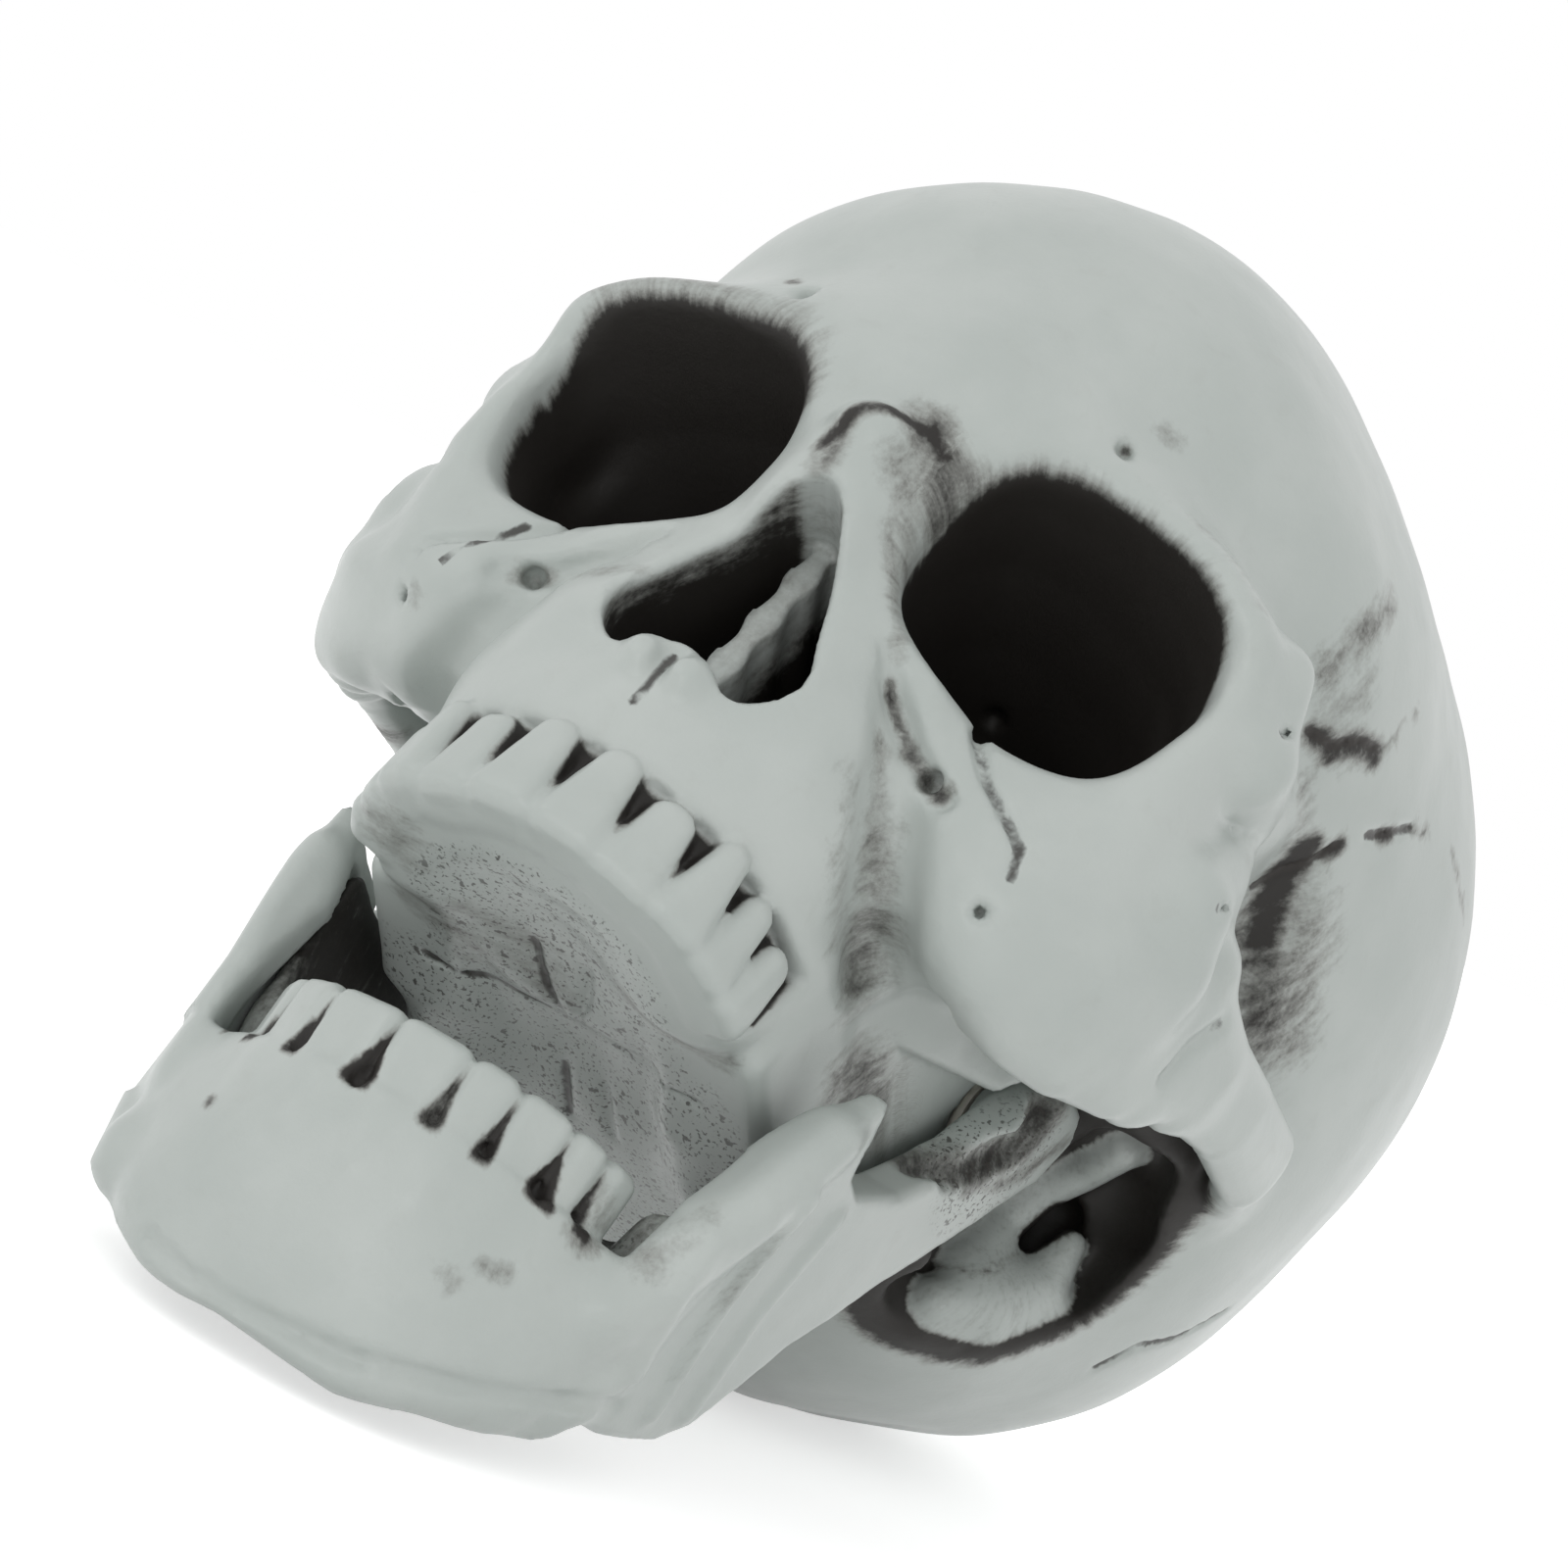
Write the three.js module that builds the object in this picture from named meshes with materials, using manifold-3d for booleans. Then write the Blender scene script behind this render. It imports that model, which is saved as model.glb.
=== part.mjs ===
// Halloween skull decoration of about life size: a moulded plastic cranium and a lower jaw of two
// shells that swings on a pair of hinge pins. The skull lies tipped back on its occiput and on the
// lower border of its jaw, with the mouth wide open. Sizes are in millimetres.
//
// Head frame: the origin is midway between the ears, +X runs to the skull's own left, -Y out of the
// face and +Z to the crown. The jaw is described closed, in the same frame.
import * as THREE from "three";
import { mergeVertices } from "three/addons/utils/BufferGeometryUtils.js";
import Module from "manifold-3d";

const wasm = await Module();
wasm.setup();
const { Manifold, Mesh: SolidMesh } = wasm;

// Braincase
const CRANIUM_BREADTH = 128;
const CRANIUM_TOP = 111;
const CRANIUM_BACK = 83;
const CRANIUM_UNDER = -29;

// Face
const FACE_FRONT = -96;
const CHEEK_BREADTH = 122;
const ORBIT_WIDTH = 37;
const ORBIT_HEIGHT = 33;
const ORBIT_DEPTH = 44;
const NOSE_WIDTH = 25;
const NOSE_HEIGHT = 30;
const NOSE_FLOOR = -19;
const SEPTUM_THICKNESS = 2.6;

// Tooth rows
const ARCH_HALF_WIDTH = 27;
const ARCH_DEPTH = 24;
const BITE_LEVEL = -46;
const BITE_GAP = 0.8;
const TOOTH_HEIGHT = 12;
const TOOTH_WIDTHS = [8.4, 7.8, 7.4, 6.8, 7.4];

// Jaw
const CHIN_LEVEL = -86;
const JAW_WALL = 10;
const RAMUS_THICKNESS = 7;
const RAMUS_LEAN = 0.157;
const JAW_OPEN_DEG = 15.5;
const SHELL_GAP = 0.3;
const LINER_RIM = 1.3;
const LINER_DEPTH = 2.5;
const LOWER_TEETH = 0.92;
const SWING_GAP = 0.8;
const CONDYLE_RADIUS = 8.5;
const NOTCH = { y: -51, z: -24.5 };
const CORONOID = { y: -66, z: -22.5 };
const GONION = { y: -45, z: -62 };

// Hinge
const HINGE_Y = -22;
const HINGE_Z = -7;
const HINGE_SPREAD = 42;
const PIN_RADIUS = 2.5;
const PIN_PRESS_DEPTH = 5;
const BOSS_HEIGHT = 1.5;
const PIN_CLEARANCE = 0.15;
const BUSH_WALL = 1.6;
const BUSH_LENGTH = 8;
const WASHER_THICKNESS = 0.8;
const RUNNING_GAP = 0.3;

// Rest on a table
const FLAT_DEPTH = 1;

const rad = THREE.MathUtils.degToRad;
const vec = (x, y, z) => new THREE.Vector3(x, y, z);

// Closed body of a three.js geometry, skin facing out, ready for joining and cutting.
function solid(geometry) {
  const g = geometry.clone();
  g.deleteAttribute("normal");
  g.deleteAttribute("uv");
  const m = mergeVertices(g, 1e-4);
  const p = m.attributes.position;
  const index = m.index.array;
  const [a, b, c] = [vec(), vec(), vec()];
  let volume = 0;
  for (let i = 0; i < index.length; i += 3) {
    a.fromBufferAttribute(p, index[i]);
    b.fromBufferAttribute(p, index[i + 1]);
    c.fromBufferAttribute(p, index[i + 2]);
    volume += a.dot(b.cross(c));
  }
  if (volume < 0) index.reverse();
  return new Manifold(new SolidMesh({
    numProp: 3,
    vertProperties: new Float32Array(p.array),
    triVerts: new Uint32Array(index),
  }));
}

function geometryOf(body) {
  const mesh = body.getMesh();
  const g = new THREE.BufferGeometry();
  g.setAttribute("position", new THREE.BufferAttribute(new Float32Array(mesh.vertProperties), 3));
  g.setIndex(new THREE.BufferAttribute(new Uint32Array(mesh.triVerts), 1));
  g.computeVertexNormals();
  return g;
}

// Skin over a row of closed sections with the same number of points, with flat ends.
function loft(sections) {
  const n = sections[0].length;
  const points = sections.flat();
  const first = vec(0, 0, 0);
  const last = vec(0, 0, 0);
  sections[0].forEach((p) => first.addScaledVector(p, 1 / n));
  sections.at(-1).forEach((p) => last.addScaledVector(p, 1 / n));
  points.push(first, last);
  const index = [];
  const end = (sections.length - 1) * n;
  for (let j = 0; j < n; j++) {
    const k = (j + 1) % n;
    for (let i = 0; i < end; i += n) {
      index.push(i + j, i + k, i + n + k, i + j, i + n + k, i + n + j);
    }
    index.push(points.length - 2, k, j, points.length - 1, end + j, end + k);
  }
  const g = new THREE.BufferGeometry().setFromPoints(points);
  g.setIndex(index);
  return g;
}

// The same body on both sides of the middle plane.
function bothSides(make) {
  return make(1).add(make(-1));
}

// Closed ring with rounded corners: half sizes a and b along the two directions u and v.
function ring(centre, u, v, a, b, count, squareness = 2) {
  const points = [];
  for (let i = 0; i < count; i++) {
    const t = (2 * Math.PI * i) / count;
    const c = Math.cos(t);
    const s = Math.sin(t);
    const x = Math.sign(c) * Math.abs(c) ** (2 / squareness);
    const y = Math.sign(s) * Math.abs(s) ** (2 / squareness);
    points.push(centre.clone().addScaledVector(u, a * x).addScaledVector(v, b * y));
  }
  return points;
}

// Rounded body with half sizes along X, Y and Z, leaned about Y and splayed about Z.
function pebble(at, half, lean = 0, splay = 0, around = 20, along = 14) {
  const g = new THREE.SphereGeometry(1, around, along);
  g.scale(half[0], half[1], half[2]);
  g.rotateY(rad(lean));
  g.rotateZ(rad(splay));
  g.translate(at[0], at[1], at[2]);
  return g;
}

// Rounded masses that the cranium is moulded from; those with side are on both sides.
// at: centre; radii: half sizes; splay, tilt, roll: turns about Z, X, Y in degrees; soft: blend.
const halfBreadth = CRANIUM_BREADTH / 2;
const halfCheek = CHEEK_BREADTH / 2;
const caseMiddle = (CRANIUM_TOP + CRANIUM_UNDER) / 2;
const masses = [
  { name: "braincase", at: [0, 6, caseMiddle], soft: 4,
    radii: [halfBreadth, CRANIUM_BACK - 6, CRANIUM_TOP - caseMiddle] },
  { name: "forehead", at: [0, -36, 51], radii: [55, 58, 48.5], soft: 16 },
  { name: "temple core", at: [0, -46, 14], radii: [44, 38, 40], soft: 14 },
  { name: "under brain", at: [0, -8, -6], radii: [44, 46, 26], soft: 12 },
  { name: "skull base", at: [0, -38, -14], radii: [32, 42, 24], soft: 12 },
  { name: "brow", at: [26, -80, 33], radii: [25, 12, 8], splay: -8, roll: 10, soft: 12, side: true },
  { name: "glabella", at: [0, FACE_FRONT + 8, 31], radii: [16, 8, 12], soft: 12 },
  { name: "outer rim", at: [46, -76, 19], radii: [7, 9, 20], tilt: -6, soft: 8, side: true },
  { name: "cheek", at: [42, -70, -9], radii: [19, 12, 16], splay: 36, soft: 10, side: true },
  { name: "midface", at: [0, -68, 2], radii: [38, 23, 30], soft: 10 },
  { name: "nose bridge", at: [0, FACE_FRONT + 10, 16], radii: [10, 13, 18], tilt: -12, soft: 7 },
  { name: "upper jaw", at: [0, -70, -16], radii: [ARCH_HALF_WIDTH + 4, -69.5 - FACE_FRONT, 30], soft: 5 },
];

const placed = masses.flatMap((m) => (m.side ? [1, -1] : [1]).map((s) => {
  const turn = new THREE.Euler(rad(m.tilt ?? 0), rad((m.roll ?? 0) * s), rad((m.splay ?? 0) * s), "ZXY");
  const frame = new THREE.Matrix4().makeRotationFromEuler(turn);
  frame.setPosition(m.at[0] * s, m.at[1], m.at[2]);
  return { inverse: frame.invert(), radii: m.radii, soft: m.soft };
}));

function depthInMasses(p) {
  const q = vec(0, 0, 0);
  let d = Infinity;
  for (const m of placed) {
    q.copy(p).applyMatrix4(m.inverse);
    const [a, b, c] = m.radii;
    const k0 = Math.hypot(q.x / a, q.y / b, q.z / c);
    const k1 = Math.hypot(q.x / a ** 2, q.y / b ** 2, q.z / c ** 2);
    const e = k0 < 1e-6 ? -Math.min(a, b, c) : (k0 * (k0 - 1)) / k1;
    const h = Math.max(m.soft - Math.abs(d - e), 0) / m.soft;
    d = Math.min(d, e) - (Number.isFinite(d) ? (h * h * m.soft) / 4 : 0);
  }
  return d;
}

// A sphere whose points are slid along their rays on to the blended masses: poles at the face and
// the occiput, with the rings drawn together over the face.
function mouldedHead(around, along) {
  const middle = vec(0, -20, 15);
  const g = new THREE.SphereGeometry(1, around, along);
  g.rotateX(-Math.PI / 2);
  const p = g.attributes.position;
  const ray = vec(0, 0, 0);
  const at = vec(0, 0, 0);
  for (let i = 0; i < p.count; i++) {
    ray.fromBufferAttribute(p, i);
    const polar = Math.acos(THREE.MathUtils.clamp(-ray.y, -1, 1)) / Math.PI;
    const turned = Math.PI * polar ** 1.25;
    const across = Math.hypot(ray.x, ray.z);
    if (across > 1e-6) {
      ray.set((ray.x / across) * Math.sin(turned), -Math.cos(turned), (ray.z / across) * Math.sin(turned));
    }
    let outer = 150;
    while (outer > 1) {
      const d = depthInMasses(at.copy(middle).addScaledVector(ray, outer));
      if (d < 0.02) break;
      outer -= Math.max(0.7 * d, 0.02);
    }
    at.copy(middle).addScaledVector(ray, outer);
    p.setXYZ(i, at.x, at.y, at.z);
  }
  return solid(g);
}

// Eye socket: a rounded square that narrows to the back and towards the middle.
function orbitCutter(side) {
  const rim = vec(27.8 * side, -84, 16.5);
  const apex = vec(16 * side, -84 + ORBIT_DEPTH, 14);
  const axis = apex.clone().sub(rim).normalize();
  const droop = rad(12) * side;
  const u = vec(Math.cos(droop), 0, -Math.sin(droop));
  u.addScaledVector(axis, -u.dot(axis)).normalize();
  const v = vec(0, 0, 0).crossVectors(axis, u).normalize();
  const flare = [[-22, 1.1], [-8, 1.03], [0, 1], [10, 0.95], [22, 0.82], [34, 0.58], [ORBIT_DEPTH, 0.26]];
  return solid(loft(flare.map(([s, k]) => ring(
    rim.clone().addScaledVector(axis, s), u, v, (k * ORBIT_WIDTH) / 2, (k * ORBIT_HEIGHT) / 2, 28, 2.7,
  ))));
}

// Pear-shaped opening of the nose, and the two pockets behind it with the septum between them.
function noseOutline(half, top, bottom) {
  const s = new THREE.Shape();
  s.moveTo(0, top);
  s.bezierCurveTo(half * 0.45, top - 1, half * 0.75, bottom + 16, half, bottom + 8);
  s.bezierCurveTo(half * 1.15, bottom + 2, half * 0.75, bottom - 1, half * 0.45, bottom);
  s.bezierCurveTo(half * 0.25, bottom + 0.5, half * 0.1, bottom + 2, 0, bottom + 3);
  s.bezierCurveTo(-half * 0.1, bottom + 2, -half * 0.25, bottom + 0.5, -half * 0.45, bottom);
  s.bezierCurveTo(-half * 0.75, bottom - 1, -half * 1.15, bottom + 2, -half, bottom + 8);
  s.bezierCurveTo(-half * 0.75, bottom + 16, -half * 0.45, top - 1, 0, top);
  return s;
}

function extrudeBack(shape, from, depth, curve = 6) {
  const g = new THREE.ExtrudeGeometry(shape, { depth, bevelEnabled: false, curveSegments: curve });
  g.rotateX(Math.PI / 2);
  g.translate(0, from + depth, 0);
  return g;
}

function noseCutter() {
  const top = NOSE_FLOOR + NOSE_HEIGHT;
  const opening = solid(extrudeBack(noseOutline(NOSE_WIDTH / 2, top, NOSE_FLOOR), -120, 34));
  const pockets = solid(extrudeBack(noseOutline(NOSE_WIDTH / 2 - 1, top - 3, NOSE_FLOOR + 1), -90, 26));
  const septum = new THREE.BoxGeometry(SEPTUM_THICKNESS, 60, 60);
  septum.translate(0, -86 + 30, 0);
  return opening.add(pockets.subtract(solid(septum)));
}

// Plan of a tooth row: half an ellipse open to the back, walked by the angle from the middle.
function archPoint(angle, inset = 0) {
  const a = ARCH_HALF_WIDTH - inset;
  const b = ARCH_DEPTH - inset;
  return vec(a * Math.sin(angle), ARCH_DEPTH + FACE_FRONT - b * Math.cos(angle), 0);
}

function archNormal(angle) {
  return vec(Math.sin(angle) / ARCH_HALF_WIDTH, -Math.cos(angle) / ARCH_DEPTH, 0).normalize();
}

// Band of gum that a tooth row stands on, between two levels.
function gumBand(low, high, thickness, inset, reach) {
  const sections = [];
  const steps = 22;
  for (let i = 0; i <= steps; i++) {
    const angle = rad(reach) * ((2 * i) / steps - 1);
    const c = archPoint(angle, inset + thickness / 2);
    c.z = (low + high) / 2;
    sections.push(ring(c, archNormal(angle), vec(0, 0, 1), thickness / 2, (high - low) / 2, 10, 2.3));
  }
  return solid(loft(sections));
}

// One row of teeth, each a rounded block set on the arch.
function toothRow(low, high, inset, widths) {
  const blocks = [];
  let angle = 0;
  for (const w of widths) {
    const step = w / (archPoint(angle + 0.1, inset).distanceTo(archPoint(angle, inset)) / 0.1);
    const middle = angle + step / 2;
    for (const side of [1, -1]) {
      const n = archNormal(middle * side);
      const c = archPoint(middle * side, inset);
      const g = new THREE.SphereGeometry(1, 8, 6);
      const p = g.attributes.position;
      for (let i = 0; i < p.count; i++) {
        const soft = (x) => Math.sign(x) * Math.abs(x) ** 0.7;
        p.setXYZ(i, soft(p.getX(i)) * (w / 2), soft(p.getZ(i)) * 4.2, soft(p.getY(i)) * (high - low) / 2);
      }
      g.rotateZ(Math.atan2(n.x, -n.y));
      g.translate(c.x, c.y, (low + high) / 2);
      blocks.push(solid(g));
    }
    angle += step;
  }
  return Manifold.union(blocks);
}

// Cheek arch from the cheekbone back to the side of the braincase, above the hinge.
function cheekArch(side) {
  const path = new THREE.CatmullRomCurve3([
    vec((halfCheek - 14) * side, -66, -8), vec((halfCheek - 5) * side, -56, -6),
    vec((halfCheek - 2) * side, -46, -2), vec(halfCheek * side, -34, 3), vec((halfCheek + 0.5) * side, -18, 9),
    vec((halfCheek - 6) * side, -2, 14),
  ]);
  const heights = [13, 11, 8, 6.5, 6.5, 5];
  const sections = [];
  for (let i = 0; i <= 10; i++) {
    const t = i / 10;
    const along = path.getTangent(t);
    const out = vec(-along.y, along.x, 0).normalize();
    const j = Math.min(Math.floor(t * 5), 4);
    const tall = THREE.MathUtils.lerp(heights[j], heights[j + 1], t * 5 - j);
    sections.push(ring(path.getPoint(t), out, vec(0, 0, 1), 3.4, tall, 12, 2.4));
  }
  return solid(loft(sections));
}

// Hollow behind the cheek, under the temple.
function templeCutter(side) {
  return solid(pebble([51 * side, -44, -6], [15, 18, 44], 10 * side));
}

// Hollow round the hinge and the ear.
function earCutter(side) {
  return solid(pebble([46 * side, -15, -10], [15, 17, 14], -35 * side));
}

// Knob and bar of bone left standing in the ear hollow.
function earKnob(side) {
  const knob = solid(pebble([42 * side, 0, -13], [5, 10, 6], -30 * side, 0, 12, 8));
  const bar = solid(pebble([46 * side, -8, -5], [8, 3.5, 3], -30 * side, 0, 10, 8));
  return knob.add(bar);
}

const palate = solid(pebble([0, FACE_FRONT + 26, BITE_LEVEL - 2], [16, 20, 8]));

const plastic = new THREE.MeshStandardMaterial({ color: 0xb9c0bb, roughness: 0.5 });
const nylon = new THREE.MeshStandardMaterial({ color: 0xe6e2d6, roughness: 0.6 });
const steel = new THREE.MeshStandardMaterial({ color: 0x9a9da0, roughness: 0.35, metalness: 1 });

let cranium = mouldedHead(50, 35);
cranium = cranium.subtract(bothSides(templeCutter));
cranium = cranium.subtract(bothSides(earCutter));
cranium = cranium.subtract(bothSides(orbitCutter));
cranium = cranium.subtract(noseCutter());
cranium = cranium.add(gumBand(BITE_LEVEL + 0.6, BITE_LEVEL + 20, 13, 1.2, 97));
cranium = cranium.subtract(palate);
cranium = cranium.add(toothRow(BITE_LEVEL, BITE_LEVEL + TOOTH_HEIGHT, 3.2, TOOTH_WIDTHS));
cranium = cranium.add(bothSides(cheekArch));
cranium = cranium.add(bothSides(earKnob));

// Side plate of the jaw: neck and condyle at the back, notch, coronoid tip, gonial corner.
function ramusOutline() {
  const s = new THREE.Shape();
  const [back, front] = [HINGE_Y + CONDYLE_RADIUS, HINGE_Y - CONDYLE_RADIUS];
  const top = HINGE_Z + CONDYLE_RADIUS;
  s.moveTo(GONION.y, GONION.z + 2);
  s.lineTo(GONION.y + 5.5, GONION.z + 15.5);
  s.lineTo(back - 7, HINGE_Z - 10);
  s.quadraticCurveTo(back, HINGE_Z - 1, back, HINGE_Z + 3);
  s.quadraticCurveTo(back - 1, top, HINGE_Y, top);
  s.quadraticCurveTo(front, top, front, HINGE_Z + 2);
  s.quadraticCurveTo(front - 1, HINGE_Z - 7, NOTCH.y, NOTCH.z);
  s.quadraticCurveTo(NOTCH.y - 6, NOTCH.z, CORONOID.y + 4, CORONOID.z);
  s.quadraticCurveTo(CORONOID.y - 2, CORONOID.z, CORONOID.y - 3.5, CORONOID.z - 5.5);
  s.quadraticCurveTo(CORONOID.y - 6, CORONOID.z - 15.5, CORONOID.y - 11, CORONOID.z - 23.5);
  s.lineTo(CORONOID.y - 8, CORONOID.z - 32);
  s.lineTo(GONION.y - 17, GONION.z - 7);
  s.lineTo(GONION.y - 5, GONION.z - 3);
  s.quadraticCurveTo(GONION.y - 0.5, GONION.z - 1.5, GONION.y, GONION.z + 2);
  return s;
}

// Outer face of the side plate at a height; the plate leans outwards to the top.
const ramusFace = (z) => HINGE_SPREAD + RAMUS_LEAN * z;

function ramus(side) {
  const edge = RAMUS_THICKNESS * 0.3;
  const g = new THREE.ExtrudeGeometry(ramusOutline(), {
    depth: RAMUS_THICKNESS - 2 * edge, bevelEnabled: true, bevelThickness: edge, bevelSize: edge,
    bevelOffset: -edge, bevelSegments: 2, curveSegments: 4,
  });
  const p = g.attributes.position;
  for (let i = 0; i < p.count; i++) {
    const [y, z, t] = [p.getX(i), p.getY(i), p.getZ(i)];
    p.setXYZ(i, (ramusFace(z) - RAMUS_THICKNESS + edge + t) * side, y, z);
  }
  return solid(g);
}

// Stations along the body of the jaw, from the right plate round the chin to the left one: the
// upper edge, the fullest line and the lower edge of the outer side, and the way inwards.
function jawStations(steps) {
  const half = (points) => [
    ...points.slice(1).reverse().map(([x, y, z]) => vec(-x, y, z)), ...points.map((p) => vec(...p)),
  ];
  const upper = new THREE.CatmullRomCurve3(half([
    [0, FACE_FRONT + 1, BITE_LEVEL - 5], [9, FACE_FRONT + 2.5, BITE_LEVEL - 5],
    [18, FACE_FRONT + 8.5, BITE_LEVEL - 4.5], [24, FACE_FRONT + 17, BITE_LEVEL - 4],
    [29, FACE_FRONT + 25, BITE_LEVEL - 2], [33, CORONOID.y + 8, BITE_LEVEL],
  ]), false, "centripetal");
  const lower = new THREE.CatmullRomCurve3(half([
    [0, FACE_FRONT + 4, CHIN_LEVEL], [12, FACE_FRONT + 4.4, CHIN_LEVEL + 1],
    [21.5, FACE_FRONT + 7.5, CHIN_LEVEL + 5], [29, FACE_FRONT + 19, CHIN_LEVEL + 9.5],
    [31, GONION.y - 17, CHIN_LEVEL + 14.5], [32, GONION.y - 5, GONION.z - 4.5],
  ]), false, "centripetal");
  const ridge = new THREE.CatmullRomCurve3(half([
    [0, FACE_FRONT + 1.5, CHIN_LEVEL + 19], [11, FACE_FRONT + 3, CHIN_LEVEL + 19],
    [21, FACE_FRONT + 8, CHIN_LEVEL + 21], [30.5, FACE_FRONT + 16, CHIN_LEVEL + 24],
    [34, FACE_FRONT + 26, CHIN_LEVEL + 28], [34.2, GONION.y - 9, CHIN_LEVEL + 30],
  ]), false, "centripetal");
  return Array.from({ length: steps + 1 }, (_, i) => {
    const [top, mid, low] = [upper, ridge, lower].map((c) => c.getPoint(i / steps));
    const along = ridge.getTangent(i / steps);
    return { top, mid, low, inward: vec(-along.y, along.x, 0).normalize().multiplyScalar(JAW_WALL) };
  });
}

function jawBody() {
  return solid(loft(jawStations(24).map(({ top, mid, low, inward }) => [
    top.clone().addScaledVector(inward, 0.15).setZ(top.z + 1.5), top, top.clone().lerp(mid, 0.55), mid,
    mid.clone().lerp(low, 0.6), low, low.clone().addScaledVector(inward, 0.25).setZ(low.z - 1.6),
    low.clone().addScaledVector(inward, 0.8).setZ(low.z - 0.8),
    top.clone().lerp(low, 0.5).addScaledVector(inward, 0.95),
    top.clone().addScaledVector(inward, 1.05), top.clone().addScaledVector(inward, 0.8).setZ(top.z + 1.5),
  ])));
}

// Room for the inner shell behind the chin, within a rim of the outer shell above and below.
function linerBand(grow) {
  const sections = jawStations(24).map(({ top, low, inward }) => {
    const unit = inward.clone().normalize();
    const upper = top.clone().lerp(low, 0.14).addScaledVector(inward, 1.02);
    const lower = top.clone().lerp(low, 0.9).addScaledVector(inward, 0.85);
    upper.z += grow;
    lower.z -= grow;
    const middle = upper.clone().lerp(lower, 0.5).addScaledVector(inward, 0.02);
    const shift = (p, d) => p.clone().addScaledVector(unit, d);
    const out = -LINER_DEPTH - grow;
    return [shift(upper, 5), shift(upper, out), shift(middle, out), shift(lower, out), shift(lower, 5)];
  });
  for (const end of [sections[0], sections.at(-1)]) end.forEach((p) => p.setY(p.y + grow));
  return solid(loft(sections));
}

// Disc or tube on the hinge axis of one side, between two distances from the middle plane.
function onHinge(side, from, to, outer, inner = 0, count = 24) {
  const profile = inner > 0
    ? [[inner, from], [outer, from], [outer, to], [inner, to], [inner, from]]
    : [[0, from], [outer, from], [outer, to], [0, to]];
  const g = new THREE.LatheGeometry(profile.map(([r, x]) => new THREE.Vector2(r, x)), count);
  g.rotateZ(-Math.PI / 2);
  if (side < 0) g.rotateY(Math.PI);
  g.translate(0, HINGE_Y, HINGE_Z);
  return g;
}

// Stack on each hinge axis, from the boss on the jaw inwards.
const bossFace = ramusFace(HINGE_Z) - RAMUS_THICKNESS - BOSS_HEIGHT;
const washerOut = bossFace - RUNNING_GAP;
const washerIn = washerOut - WASHER_THICKNESS;
const seatFace = washerIn - RUNNING_GAP;
const boreEnd = seatFace - BUSH_LENGTH;
const bushRadius = PIN_RADIUS + PIN_CLEARANCE + BUSH_WALL;
const bossRadius = bushRadius + 1.5;

// Jaw with its lower teeth, and the hinge bosses on the inner side of the condyles.
let jaw = jawBody().add(bothSides(ramus));
jaw = jaw.add(toothRow(
  BITE_LEVEL - BITE_GAP - TOOTH_HEIGHT, BITE_LEVEL - BITE_GAP, 4.6, TOOTH_WIDTHS.map((w) => w * LOWER_TEETH),
));
jaw = jaw.add(bothSides((side) => solid(onHinge(side, bossFace, bossFace + BOSS_HEIGHT + 3, bossRadius))));
jaw = jaw.subtract(bothSides((side) => solid(
  onHinge(side, bossFace - 1, bossFace + PIN_PRESS_DEPTH, PIN_RADIUS + PIN_CLEARANCE),
)));

// Room for the inner shell of the jaw: a thin layer inside a rim, on the plates and behind the chin.
function linerPlate(side, grow) {
  const inset = -LINER_RIM + grow;
  const outline = new THREE.Shape();
  outline.moveTo(-47, -60);
  outline.lineTo(-30, -29);
  outline.quadraticCurveTo(-40, -25, -50, -27);
  outline.quadraticCurveTo(-58, -28, -63, -26);
  outline.quadraticCurveTo(-67, -26, -68, -32);
  outline.lineTo(-74, -50);
  outline.lineTo(-72, -72);
  outline.quadraticCurveTo(-58, -69, -47, -60);
  const g = new THREE.ExtrudeGeometry(outline, {
    depth: LINER_DEPTH + 4 + grow, bevelEnabled: true, bevelThickness: 0.01, bevelSize: 0.01,
    bevelOffset: inset, bevelSegments: 1, curveSegments: 4,
  });
  const p = g.attributes.position;
  for (let i = 0; i < p.count; i++) {
    const [y, z, t] = [p.getX(i), p.getY(i), p.getZ(i)];
    p.setXYZ(i, (ramusFace(z) - RAMUS_THICKNESS - 4 + t) * side, y, z);
  }
  return solid(g);
}

const linerRoom = (grow) => linerBand(grow).add(bothSides((side) => linerPlate(side, grow)));
const jawInner = jaw.intersect(linerRoom(0));
const jawOuter = jaw.subtract(linerRoom(SHELL_GAP));

const part = new THREE.Group();
part.name = "halloween_skull";
const head = new THREE.Group();
head.name = "head";
part.add(head);
const jawGroup = new THREE.Group();
jawGroup.name = "jaw";
jawGroup.position.set(0, HINGE_Y, HINGE_Z);
jawGroup.rotation.x = rad(JAW_OPEN_DEG);
head.add(jawGroup);

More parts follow.
